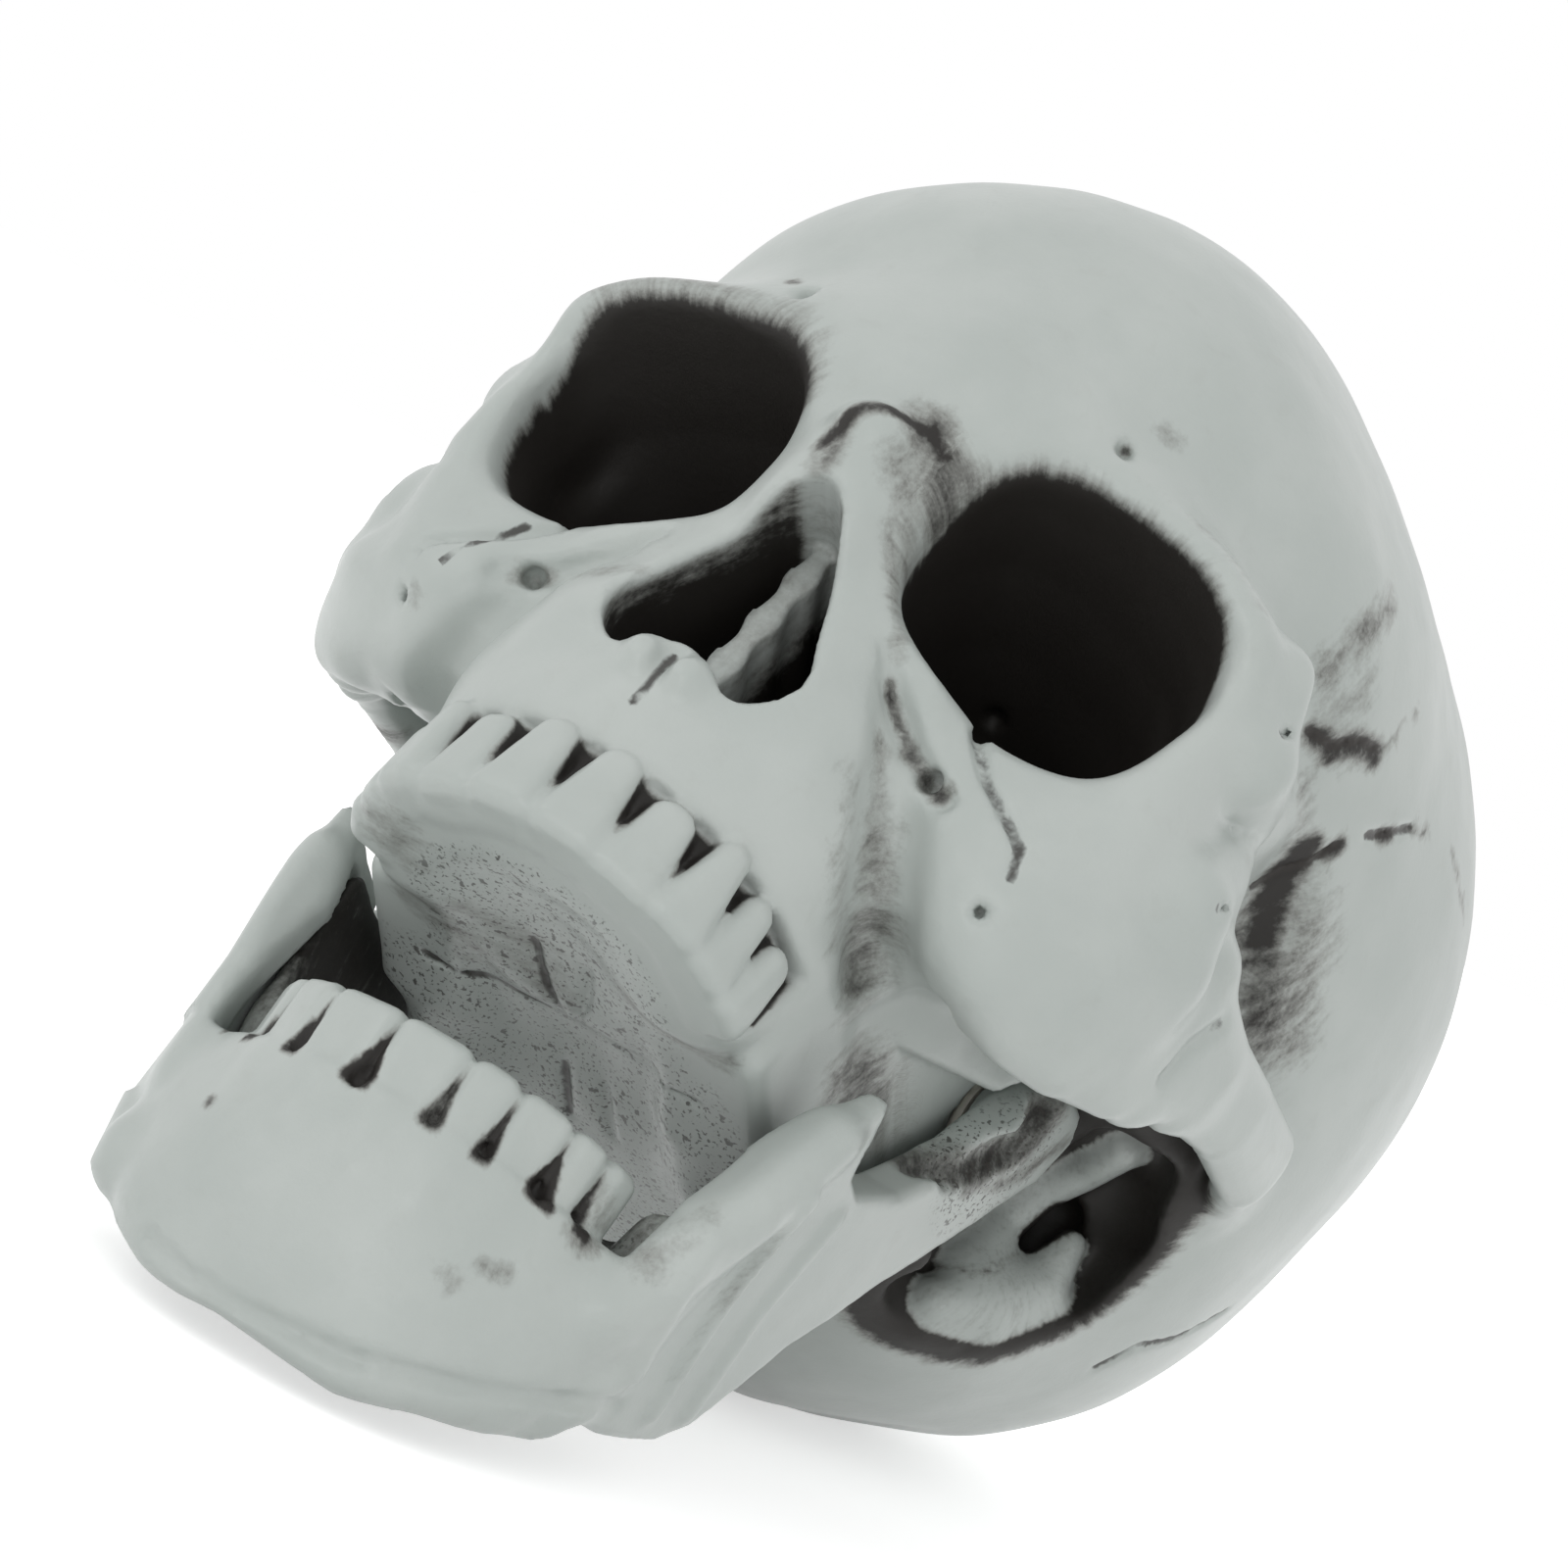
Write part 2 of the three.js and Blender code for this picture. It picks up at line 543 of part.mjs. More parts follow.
// Room that the side plate of the jaw sweeps from closed to open, left free in the cranium.
function swingRoom(side) {
  const reach = CONDYLE_RADIUS + SWING_GAP;
  const open = rad(JAW_OPEN_DEG);
  const swung = (y, z) => new THREE.Vector2(y, z).rotateAround(new THREE.Vector2(HINGE_Y, HINGE_Z), open);
  const s = new THREE.Shape();
  s.moveTo(HINGE_Y - reach - 3, HINGE_Z - 3);
  s.lineTo(HINGE_Y - reach, HINGE_Z + 0.6 * reach);
  s.lineTo(HINGE_Y - 0.6 * reach, HINGE_Z + reach);
  s.lineTo(HINGE_Y + 0.6 * reach, HINGE_Z + reach);
  s.lineTo(HINGE_Y + reach, HINGE_Z + 0.6 * reach);
  s.lineTo(HINGE_Y + reach, HINGE_Z - 4);
  const nape = swung(GONION.y + 5.5 + 2 * SWING_GAP, GONION.z + 15.5);
  s.lineTo(nape.x, nape.y);
  s.lineTo(nape.x, GONION.z - 20);
  s.lineTo(CORONOID.y - 11 - SWING_GAP, GONION.z - 20);
  s.lineTo(CORONOID.y - 11 - SWING_GAP, CORONOID.z - 23);
  s.lineTo(CORONOID.y - 4 - SWING_GAP, CORONOID.z - 4);
  s.lineTo(CORONOID.y, CORONOID.z + SWING_GAP);
  s.lineTo(NOTCH.y, NOTCH.z + 4 * SWING_GAP);
  const g = new THREE.ExtrudeGeometry(s, { depth: RAMUS_THICKNESS + 4 * SWING_GAP, bevelEnabled: false });
  const p = g.attributes.position;
  for (let i = 0; i < p.count; i++) {
    const [y, z, t] = [p.getX(i), p.getY(i), p.getZ(i)];
    p.setXYZ(i, (ramusFace(z) - RAMUS_THICKNESS - 2 * SWING_GAP + t) * side, y, z);
  }
  return solid(g);
}

cranium = cranium.subtract(bothSides(swingRoom));
cranium = cranium.subtract(bothSides((side) => solid(onHinge(side, seatFace, bossFace + 8, bossRadius + 1.5))));
cranium = cranium.subtract(bothSides((side) => solid(
  onHinge(side, boreEnd - RUNNING_GAP, seatFace + 1, bushRadius + PIN_CLEARANCE),
)));

// The skull is tipped back until the jaw's lower border and the occiput both meet the table; a
// little is taken off each there, so that it stands on flats.
const lowest = (bodies, turn) => Math.min(...bodies.map((body) => {
  const g = geometryOf(body).applyMatrix4(turn);
  g.computeBoundingBox();
  return g.boundingBox.min.z;
}));
const jawTurn = new THREE.Matrix4().makeTranslation(0, HINGE_Y, HINGE_Z)
  .multiply(new THREE.Matrix4().makeRotationX(rad(JAW_OPEN_DEG)))
  .multiply(new THREE.Matrix4().makeTranslation(0, -HINGE_Y, -HINGE_Z));
let [tipLow, tipHigh] = [rad(10), rad(70)];
for (let i = 0; i < 30; i++) {
  const tip = new THREE.Matrix4().makeRotationX(-(tipLow + tipHigh) / 2);
  const jawLow = lowest([jawOuter], tip.clone().multiply(jawTurn));
  if (jawLow < lowest([cranium], tip)) tipLow = (tipLow + tipHigh) / 2;
  else tipHigh = (tipLow + tipHigh) / 2;
}
const tipped = new THREE.Matrix4().makeRotationX(-tipLow);
const floor = lowest([cranium], tipped) + FLAT_DEPTH;

function flattened(body, turn) {
  const slab = new THREE.BoxGeometry(400, 400, 40).translate(0, 0, floor - 20);
  return body.subtract(solid(slab.applyMatrix4(turn.clone().invert())));
}

cranium = flattened(cranium, tipped);
const jawOuterRest = flattened(jawOuter, tipped.clone().multiply(jawTurn));
const jawInnerRest = flattened(jawInner, tipped.clone().multiply(jawTurn));

function addPiece(group, name, body, material, origin = vec(0, 0, 0)) {
  const mesh = new THREE.Mesh(geometryOf(body).translate(-origin.x, -origin.y, -origin.z), material);
  mesh.name = name;
  group.add(mesh);
}

const hinge = vec(0, HINGE_Y, HINGE_Z);
addPiece(head, "cranium_shell", cranium, plastic);
addPiece(jawGroup, "jaw_outer_shell", jawOuterRest, plastic, hinge);
addPiece(jawGroup, "jaw_inner_shell", jawInnerRest, plastic, hinge);

for (const [side, name] of [[1, "left"], [-1, "right"]]) {
  addPiece(jawGroup, `hinge_pin_${name}`, solid(
    onHinge(side, boreEnd + 0.5, bossFace + PIN_PRESS_DEPTH - RUNNING_GAP, PIN_RADIUS),
  ), steel, hinge);
  addPiece(head, `hinge_bush_${name}`, solid(
    onHinge(side, boreEnd, seatFace, bushRadius, PIN_RADIUS + PIN_CLEARANCE),
  ), nylon);
  addPiece(head, `hinge_washer_${name}`, solid(
    onHinge(side, washerIn, washerOut, bossRadius - 0.5, PIN_RADIUS + PIN_CLEARANCE),
  ), nylon);
}

// The tipped skull stands on the table, in the middle of the frame.
head.rotation.x = -tipLow;
head.position.z = -floor;
const extent = new THREE.Box3().setFromObject(part, true);
head.position.y = -(extent.min.y + extent.max.y) / 2;
export default part;
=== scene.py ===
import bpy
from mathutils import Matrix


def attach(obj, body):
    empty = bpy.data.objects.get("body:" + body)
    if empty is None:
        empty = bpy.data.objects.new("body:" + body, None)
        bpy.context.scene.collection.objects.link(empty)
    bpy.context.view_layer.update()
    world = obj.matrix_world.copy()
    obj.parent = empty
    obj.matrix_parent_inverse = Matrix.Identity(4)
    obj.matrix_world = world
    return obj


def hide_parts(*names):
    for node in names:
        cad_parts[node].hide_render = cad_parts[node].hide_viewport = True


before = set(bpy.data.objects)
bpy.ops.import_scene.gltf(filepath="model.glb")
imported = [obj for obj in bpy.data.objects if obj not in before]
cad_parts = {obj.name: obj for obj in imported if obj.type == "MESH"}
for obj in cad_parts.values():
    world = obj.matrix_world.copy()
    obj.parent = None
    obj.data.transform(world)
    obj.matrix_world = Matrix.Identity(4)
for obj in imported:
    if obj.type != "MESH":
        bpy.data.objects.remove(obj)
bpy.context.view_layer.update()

import copy
import math

import bpy
import numpy as np
import openvdb
from mathutils import Matrix, Vector

# How the skull lies. It rests on its occiput and on the border of its chin, tipped back, with the jaw
# at its open stop. The head is described in millimetres from midway between the ears, -Y out of the
# face and +Z to the crown, and then laid down; the jaw is described closed.
MM = 0.001
HEAD_TIP = math.radians(37.2987)
HEAD_SHIFT = (0, 6.2558, 42.3074)
JAW_HINGE = Vector((0, -22, -7))
JAW_OPEN = math.radians(15.5)
head_lies = Matrix.Translation(HEAD_SHIFT) @ Matrix.Rotation(-HEAD_TIP, 4, "X")
jaw_swing = Matrix.Translation(JAW_HINGE) @ Matrix.Rotation(JAW_OPEN, 4, "X") @ Matrix.Translation(-JAW_HINGE)

# The view. A long lens from the left, below the chin of the head, rolled so that the crown points to
# the upper right of the picture.
PICTURE = 1600
LENS = 112.5
SENSOR = 36.0
EYE = np.array((216.953, -493.285, -296.428))
PICTURE_RIGHT = np.array((0.821098, 0.019442, 0.570456))
PICTURE_DOWN = np.array((0.426657, 0.642985, -0.636031))
PICTURE_IN = np.array((-0.379160, 0.765632, 0.519658))
FOCAL_PIXELS = LENS / SENSOR * PICTURE

camera_data = bpy.data.cameras.new("camera")
camera_data.lens = LENS
camera_data.sensor_width = SENSOR
camera_data.clip_end = 20
camera = bpy.data.objects.new("camera", camera_data)
bpy.context.scene.collection.objects.link(camera)
look = Matrix([PICTURE_RIGHT, -PICTURE_DOWN, -PICTURE_IN]).transposed().to_4x4()
camera.matrix_world = Matrix.Translation(head_lies @ Vector(EYE) * MM) @ head_lies.to_3x3().to_4x4() @ look
bpy.context.scene.camera = camera


# The cranium. One hollow moulding in pale plastic with the upper teeth in one with it, sculpted as a
# clay original and cast: rounded masses are pressed together, then hollows are cut and ridges laid on.
class Clay:
    """A block of clay, as the distance to its skin in millimetres on a grid."""

    def __init__(self, low, high, step):
        self.step = step
        self.axes = [np.arange(a, b, step, dtype=np.float32) for a, b in zip(low, high)]
        self.skin = np.full([len(a) for a in self.axes], 40.0, np.float32)

    def near(self, low, high):
        """The part of the grid between two corners."""
        cuts = []
        for axis, a, b in zip(self.axes, low, high):
            first, last = np.searchsorted(axis, (a, b))
            cuts.append(slice(max(first - 1, 0), last + 1))
        grids = np.meshgrid(*[a[c] for a, c in zip(self.axes, cuts)], indexing="ij", sparse=True)
        return tuple(cuts), grids

    def press(self, form, soft=0.0, sign=1):
        """Joins a form to the clay, or takes it away, with a fillet of a soft width."""
        low, high, distance = form
        where, (x, y, z) = self.near(np.array(low) - soft - 2, np.array(high) + soft + 2)
        skin = sign * self.skin[where]
        d = distance(x, y, z)
        join = np.minimum(skin, d)
        if soft > 0:
            overlap = np.maximum(soft - np.abs(skin - d), 0) / soft
            join = join - overlap * overlap * soft / 4
        self.skin[where] = sign * join

    def lay_on(self, form, soft=0.0):
        self.press(form, soft)

    def carve(self, form, soft=0.0):
        self.press(form, soft, -1)

    def with_skin(self, skin):
        """Clay on the same grid with another skin."""
        other = copy.copy(self)
        other.skin = skin
        return other

    def depth(self, points):
        """Distance of points from the skin, less than nothing inside."""
        spots = [(points[:, i] - self.axes[i][0]) / self.step for i in range(3)]
        first = [np.clip(s.astype(int), 0, n - 2) for s, n in zip(spots, self.skin.shape)]
        part = [np.clip(s - cell, 0, 1) for s, cell in zip(spots, first)]
        total = 0
        for corner in range(8):
            pick = [(corner >> i) & 1 for i in range(3)]
            weight = 1
            for i in range(3):
                weight = weight * (part[i] if pick[i] else 1 - part[i])
            total = total + weight * self.skin[tuple(cell + p for cell, p in zip(first, pick))]
        return total


def turned(tilt=0, roll=0, splay=0):
    turn = Matrix.Rotation(math.radians(splay), 3, "Z") @ Matrix.Rotation(math.radians(tilt), 3, "X")
    return np.array(turn @ Matrix.Rotation(math.radians(roll), 3, "Y"))


def lump(at, radii, tilt=0, roll=0, splay=0):
    """Egg-shaped mass."""
    turn = turned(tilt, roll, splay)
    reach = np.abs(turn) @ np.array(radii, float)

    def distance(x, y, z):
        p = (x - at[0], y - at[1], z - at[2])
        q = [turn[0, i] * p[0] + turn[1, i] * p[1] + turn[2, i] * p[2] for i in range(3)]
        near = np.sqrt(sum((q[i] / radii[i]) ** 2 for i in range(3)))
        slope = np.sqrt(sum((q[i] / radii[i] ** 2) ** 2 for i in range(3)))
        return near * (near - 1) / np.maximum(slope, 1e-6)

    return np.array(at) - reach, np.array(at) + reach, distance


def rope(points, radii):
    """Round roll of clay through points, thick or thin by its radius at each."""
    points = [np.array(p, float) for p in points]
    radii = np.broadcast_to(np.array(radii, float), len(points))

    def distance(x, y, z):
        best = None
        for a, b, ra, rb in zip(points, points[1:], radii, radii[1:]):
            way = b - a
            t = ((x - a[0]) * way[0] + (y - a[1]) * way[1] + (z - a[2]) * way[2]) / max(way @ way, 1e-9)
            t = np.clip(t, 0, 1)
            gap = np.sqrt(sum((p - a[i] - t * way[i]) ** 2 for i, p in enumerate((x, y, z))))
            gap = gap - ra - t * (rb - ra)
            best = gap if best is None else np.minimum(best, gap)
        return best

    fat = radii.max()
    return np.min(points, axis=0) - fat, np.max(points, axis=0) + fat, distance


def strap(points, thick, heights, squareness=2.4):
    """Upright band along a path seen from above, of one thickness and its own half height at each point."""
    points = [np.array(p, float) for p in points]

    def distance(x, y, z):
        best = None
        for a, b, ha, hb in zip(points, points[1:], heights, heights[1:]):
            way = (b - a)[:2]
            t = np.clip(((x - a[0]) * way[0] + (y - a[1]) * way[1]) / (way @ way), 0, 1)
            aside = np.hypot(x - a[0] - t * way[0], y - a[1] - t * way[1]) / thick
            above = np.abs(z - a[2] - t * (b - a)[2]) / (ha + t * (hb - ha))
            gap = ((aside ** squareness + above ** squareness) ** (1 / squareness) - 1) * thick
            best = gap if best is None else np.minimum(best, gap)
        return best

    fat = np.array((thick, thick, max(heights)))
    return np.min(points, axis=0) - fat, np.max(points, axis=0) + fat, distance


def block(at, half, corner, splay=0, taper=0.0):
    """Upright block with rounded corners, narrower to its top by a share."""
    turn = turned(splay=splay)
    fat = np.array((max(half[:2]) * 1.5, max(half[:2]) * 1.5, half[2]))

    def distance(x, y, z):
        u = turn[0, 0] * (x - at[0]) + turn[1, 0] * (y - at[1])
        v = turn[0, 1] * (x - at[0]) + turn[1, 1] * (y - at[1])
        w = z - at[2]
        wide = half[0] * (1 - taper * np.clip(0.5 + w / (2 * half[2]), 0, 1))
        q = [np.abs(u) - wide + corner, np.abs(v) - half[1] + corner, np.abs(w) - half[2] + corner]
        outer = np.sqrt(sum(np.maximum(a, 0) ** 2 for a in q))
        return outer + np.minimum(np.maximum(np.maximum(q[0], q[1]), q[2]), 0) - corner

    return np.array(at) - fat, np.array(at) + fat, distance


def outline_gap(outline, u, v):
    """Distance to a closed outline in a plane, less than nothing inside."""
    best, inside = None, None
    for (ua, va), (ub, vb) in zip(outline, outline[1:] + outline[:1]):
        du, dv = ub - ua, vb - va
        t = np.clip(((u - ua) * du + (v - va) * dv) / max(du * du + dv * dv, 1e-9), 0, 1)
        gap = (u - ua - t * du) ** 2 + (v - va - t * dv) ** 2
        best = gap if best is None else np.minimum(best, gap)
        if va != vb:
            cross = ((va > v) != (vb > v)) & (u < ua + (v - va) * du / dv)
            inside = cross if inside is None else inside ^ cross
    return np.where(inside, -1, 1) * np.sqrt(best)


def rounded(corners, steps=6):
    """Smooth closed outline through corners."""
    corners = np.array(corners, float)
    result = []
    for i in range(len(corners)):
        a, b, c, d = (corners[(i + k) % len(corners)] for k in (-1, 0, 1, 2))
        for s in range(steps):
            t = s / steps
            p = 2 * b + (c - a) * t + (2 * a - 5 * b + 4 * c - d) * t * t + (3 * b - a - 3 * c + d) * t ** 3
            result.append(tuple(p / 2))
    return result


STEP = 0.75
FACE_FRONT = -96
cranium = Clay((STEP / 2, -106, -54), (72, 92, 118), STEP)
# each mass has its place, half sizes, lean, softness of its join, and 1 where it has a twin
masses = [
    ((0, 6, 41), (64, 77, 70), {}, 4, 0),  # braincase
    ((0, -36, 51), (55, 59, 50), {}, 8, 0),  # forehead
    ((0, -46, 14), (44, 38, 40), {}, 14, 0),  # behind the eyes
    ((0, -8, -6), (44, 46, 26), {}, 12, 0),  # base
    ((0, -38, -14), (32, 42, 24), {}, 12, 0),  # base in front
    ((25, -80, 32.5), (24, 12, 7.5), {"splay": -8, "roll": 13}, 11, 1),  # brow ridges
    ((0, FACE_FRONT + 8, 31), (16, 8, 12), {}, 12, 0),  # between the brows
    ((45.5, -75.5, 16), (6.5, 8.5, 18), {"tilt": -6}, 8, 1),  # outer rims of the eyes
    ((42, -70, -9), (19, 12, 16), {"splay": 36}, 10, 1),  # cheekbones
    ((0, -68, 2), (38, 23, 30), {}, 10, 0),  # middle of the face
    ((0, FACE_FRONT + 10, 16), (10, 13, 18), {"tilt": -12}, 7, 0),  # nasal bones
    ((0, -70, -16), (31, 26.5, 30), {}, 5, 0),  # upper jaw
    ((10, -44, -26), (15, 30, 13.5), {}, 6, 1),  # behind the palate
    ((0, -30, 54), (40, 50, 53), {}, 8, 0),  # top of the forehead
    ((0, -12, 60), (40, 52, 53), {}, 8, 0),  # crown
]
whole = ((0, -110, -60), (80, 100, 125))
for at, radii, turn, soft, paired in masses:
    for side in (1, -1) if paired else (1,):
        leaning = {k: v * side if k != "tilt" else v for k, v in turn.items()}
        form = lump((at[0] * side, at[1], at[2]), radii, **leaning)
        cranium.lay_on((*whole, form[2]), soft)


def uneven(x, y, z):
    """Gentle unevenness of hand-worked clay."""
    waves = ((0.31, 0.17, 0.23, 0.4), (-0.22, 0.29, 0.12, 1.9), (0.12, -0.25, 0.36, 3.1),
             (0.4, 0.33, -0.18, 5.2), (-0.36, 0.11, 0.44, 0.8), (0.05, 0.47, 0.3, 2.6))
    return sum(np.sin(a * x + b * y + c * z + d) for a, b, c, d in waves) / len(waves)


gx, gy, gz = np.meshgrid(*cranium.axes, indexing="ij", sparse=True)
worked = 0.25 + 0.75 * np.clip((-40 - gy) / 20, 0, 1) * np.clip((26 - gz) / 20, 0, 1)
cranium.skin = cranium.skin + 0.75 * worked * uneven(gx, gy, gz)

# places planed flatter: the forehead's side and top, the back of the side and beside the resting place
PLANED = [((41, -60, 78), 24, 4.0), ((27, -70, 83), 18, 0.8), ((58.5, 36, 32), 22, 2.6),
          ((19, 48, -15), 9, 2.2)]
for (px, py, pz), wide, down in PLANED:
    off = (gx - px) ** 2 + (gy - py) ** 2 + (gz - pz) ** 2
    cranium.skin = cranium.skin + down * np.exp(-off / wide ** 2)
uncut = cranium.with_skin(cranium.skin.copy())

# hollows behind the cheek and round the ear
cranium.carve(lump((51, -44, -6), (15, 18, 44), roll=10), 2)
cranium.carve(lump((46, -15, -10), (15, 17, 14), roll=-35), 3)

# eye sockets: rounded squares that narrow to the back and towards the middle
ORBIT_WIDTH, ORBIT_HEIGHT, ORBIT_DEPTH = 35.4, 29.4, 42
socket_rim = np.array((27.6, -84, 15.5))
socket_axis = np.array((16, -84 + ORBIT_DEPTH, 14)) - socket_rim
socket_axis = socket_axis / np.linalg.norm(socket_axis)
droop = math.radians(12)
socket_u = np.array((math.cos(droop), 0, -math.sin(droop)))
socket_u = socket_u - socket_u @ socket_axis * socket_axis
socket_u = socket_u / np.linalg.norm(socket_u)
socket_v = np.cross(socket_axis, socket_u)


def in_socket(x, y, z):
    """How deep a point is along the socket, and how far out from its middle as a share of its wall."""
    p = (x - socket_rim[0], y - socket_rim[1], z - socket_rim[2])
    deep, u, v = (sum(p[i] * axis[i] for i in range(3)) for axis in (socket_axis, socket_u, socket_v))
    flare = np.interp(deep, (-22, -8, 0, 10, 22, 34, ORBIT_DEPTH), (1.1, 1.03, 1, 0.93, 0.76, 0.52, 0.22))
    a, b = flare * ORBIT_WIDTH / 2, flare * ORBIT_HEIGHT / 2
    out = (np.abs(u / a) ** 2.7 + np.abs(v / b) ** 2.7) ** (1 / 2.7)
    return deep, out, (a + b) / 2


def socket_gap(x, y, z):
    deep, out, size = in_socket(x, y, z)
    return np.maximum((out - 1) * size * 0.9, deep - ORBIT_DEPTH)


cranium.carve(((2, -112, -8), (52, -36, 42), socket_gap), 3)

# nose: a pear-shaped opening, and two pockets behind it with the septum between them
nose_half = [(0, 11), (3.5, 8.5), (6.5, 2), (10, -6), (12.3, -11.5), (11.5, -16), (8, -19), (4.5, -18.3),
             (1.4, -16.2)]
nose_outline = rounded(nose_half + [(-x, z) for x, z in nose_half[:0:-1]], 4)
NOSE_BACK = -66
SEPTUM_FRONT = -87


def nose_gap(x, y, z):
    gap = outline_gap(nose_outline, x, z) + 0 * y
    deep = np.maximum(y - SEPTUM_FRONT, 0)
    septum = 1.6 + 0.1 * deep + 0.35 * np.sin(z * 0.85 + y * 0.4) - np.abs(x)
    return np.maximum(np.maximum(gap + 0.08 * deep, y - NOSE_BACK), np.where(y > SEPTUM_FRONT, septum, -9))


cranium.carve(((0, -112, -22), (15, NOSE_BACK, 14), nose_gap), 1.6)

# upper tooth row: a thick smooth band round the palate, with crowns on its outer side
ARCH_MIDDLE = -72


def arch_gap(x, y, a, b):
    """Distance in plan from a horseshoe of half width a and depth b, positive outside."""
    near = np.hypot(x / a, (y - ARCH_MIDDLE) / b)
    slope = np.maximum(np.hypot(x / a ** 2, (y - ARCH_MIDDLE) / b ** 2), 1e-6)
    return np.where(y < ARCH_MIDDLE, near * (near - 1) / slope, np.abs(x) - a)


def upper_band(x, y, z):
    aside = np.abs(arch_gap(x, y, 18.2, 15.6)) / 7.6
    above = np.abs(z + 34.5) / 11.2
    band = ((aside ** 2.8 + above ** 2.8) ** (1 / 2.8) - 1) * 7.6
    ends = np.maximum(y + 72, 0)
    return band + 0.1 * ends ** 2


cranium.lay_on(((0, -104, -48), (32, -58, -22), upper_band), 4)
cranium.carve(lump((0, -64.5, -46.5), (12.5, 17, 5)), 1.6)
cranium.lay_on(block((20, -57, -34.5), (7.4, 11, 8.6), 2.8), 4)
cranium.lay_on(lump((19, -39, -31.5), (8.4, 15, 13)), 6)
UPPER_ARCH = (26.4, 25)
TOOTH_GAPS = [(0, -97), (8.6, -95.6), (16, -92), (21.6, -87), (24.8, -81.2), (26.3, -74.5)]
GUM_LINE = -32.8


def between_crowns(x, y, z):
    face = arch_gap(x, y, *UPPER_ARCH)
    return np.maximum(np.maximum(-face - 3.2, np.abs(z - GUM_LINE + 4.6) - 4.6), y + 72.5)


cranium.carve(((0, -106, -44), (34, -72, -32), between_crowns), 1.6)
CROWN_TAPERS = (0.52, 0.4, 0.56, 0.44, 0.38)
CROWN_HEIGHTS = (6.9, 6.3, 7.1, 6.4, 5.9)
CROWN_OUTS = (0.0, -0.5, 0.35, -0.2, 0.2)
CROWN_TIPS = -45.8
for i, ((xa, ya), (xb, yb)) in enumerate(zip(TOOTH_GAPS, TOOTH_GAPS[1:])):
    way = np.array((xb - xa, yb - ya))
    wide = np.hypot(*way)
    turn = math.degrees(math.atan2(way[1], way[0]))
    out = np.array((way[1], -way[0])) / wide
    x, y = np.array((xa + xb, ya + yb)) / 2 - out * (3.2 - CROWN_OUTS[i])
    tall = CROWN_HEIGHTS[i]
    crown = block((x, y, CROWN_TIPS + tall), (wide * 0.56, 3.8, tall), 2.2, turn, CROWN_TAPERS[i])
    cranium.lay_on(crown, 1.1)

# cheek arch from the cheekbone back to the side of the braincase
HALF_CHEEK = 61
cheek_path = [(HALF_CHEEK - 14, -66, -8), (HALF_CHEEK - 5, -56, -6), (HALF_CHEEK - 2, -46, -2),
              (HALF_CHEEK, -34, 3), (HALF_CHEEK + 0.5, -18, 9), (HALF_CHEEK - 6, -2, 14)]
cranium.lay_on(strap(cheek_path, 3.4, (13, 11, 8, 6.5, 6.5, 5)), 3)
cheek_front = [(43, -73, -10), (52, -63, -9.5), (56, -53, -6), (57.5, -47, -3)]
cranium.lay_on(strap(cheek_front, 4.2, (13, 12.5, 9, 5.5)), 4)

# room for the side plate of the jaw and for the hinge
RAMUS_SPREAD, RAMUS_LEAN, RAMUS_THICK = 42, 0.157, 7
SWING_OUTLINE = [(-34.3, -10), (-31.3, -1.4), (-27.6, 2.3), (-16.4, 2.3), (-12.7, -1.4), (-12.7, -11),
                 (-26.4, -47.5), (-26.4, -82), (-77.8, -82), (-77.8, -45.5), (-70.8, -26.5), (-66, -21.7),
                 (-51, -21.3)]


def swing_gap(x, y, z):
    across = np.abs(x - (RAMUS_SPREAD + RAMUS_LEAN * z - RAMUS_THICK / 2)) - RAMUS_THICK / 2 - 1.4
    return np.maximum(outline_gap(SWING_OUTLINE, y, z) - 0.2, across)


cranium.carve(((20, -80, -54), (50, -10, 6), swing_gap), 1.2)


def hinge_seat(x, y, z):
    out = np.hypot(y - JAW_HINGE.y, z - JAW_HINGE.z)
    seat = np.maximum(out - 7.25, 31.0 - x)
    bore = np.maximum(out - 4.4, 22.7 - x)
    return np.maximum(np.minimum(seat, bore), x - 46)


cranium.carve(((20, -32, -16), (46, -12, 2), hinge_seat), 0.3)


def below_table(x, y, z):
    return -math.sin(HEAD_TIP) * y + math.cos(HEAD_TIP) * z + HEAD_SHIFT[2] + 0 * x


cranium.carve((*whole, below_table), 0)


def folded(spots):
    """The same spots on the left side of the head."""
    spots = np.array(spots, float)
    spots[:, 0] = np.abs(spots[:, 0])
    return spots


def seen_at(clay, pixels, swing=None):
    """Points of the clay's skin that the picture shows at these pixels."""
    spots = []
    for u, v in pixels:
        aside = (u - PICTURE / 2) * PICTURE_RIGHT + (v - PICTURE / 2) * PICTURE_DOWN
        ray = PICTURE_IN + aside / FOCAL_PIXELS
        start = EYE
        if swing is not None:
            back = np.array(swing.inverted())
            start, ray = back[:3, :3] @ EYE + back[:3, 3], back[:3, :3] @ ray
        path = start + np.arange(380, 760, 0.5)[:, None] * ray
        inside = folded(path) if clay.axes[0][0] > 0 else path
        depth = clay.depth(inside)
        edges = np.array([(a[0] + 1, a[-1] - 1) for a in clay.axes])
        depth[((inside < edges[:, 0] - 2) | (inside > edges[:, 1])).any(axis=1)] = 9
        hit = np.argmax(depth < 0) if (depth < 0).any() else np.argmin(depth)
        spots.append(path[hit])
    return spots


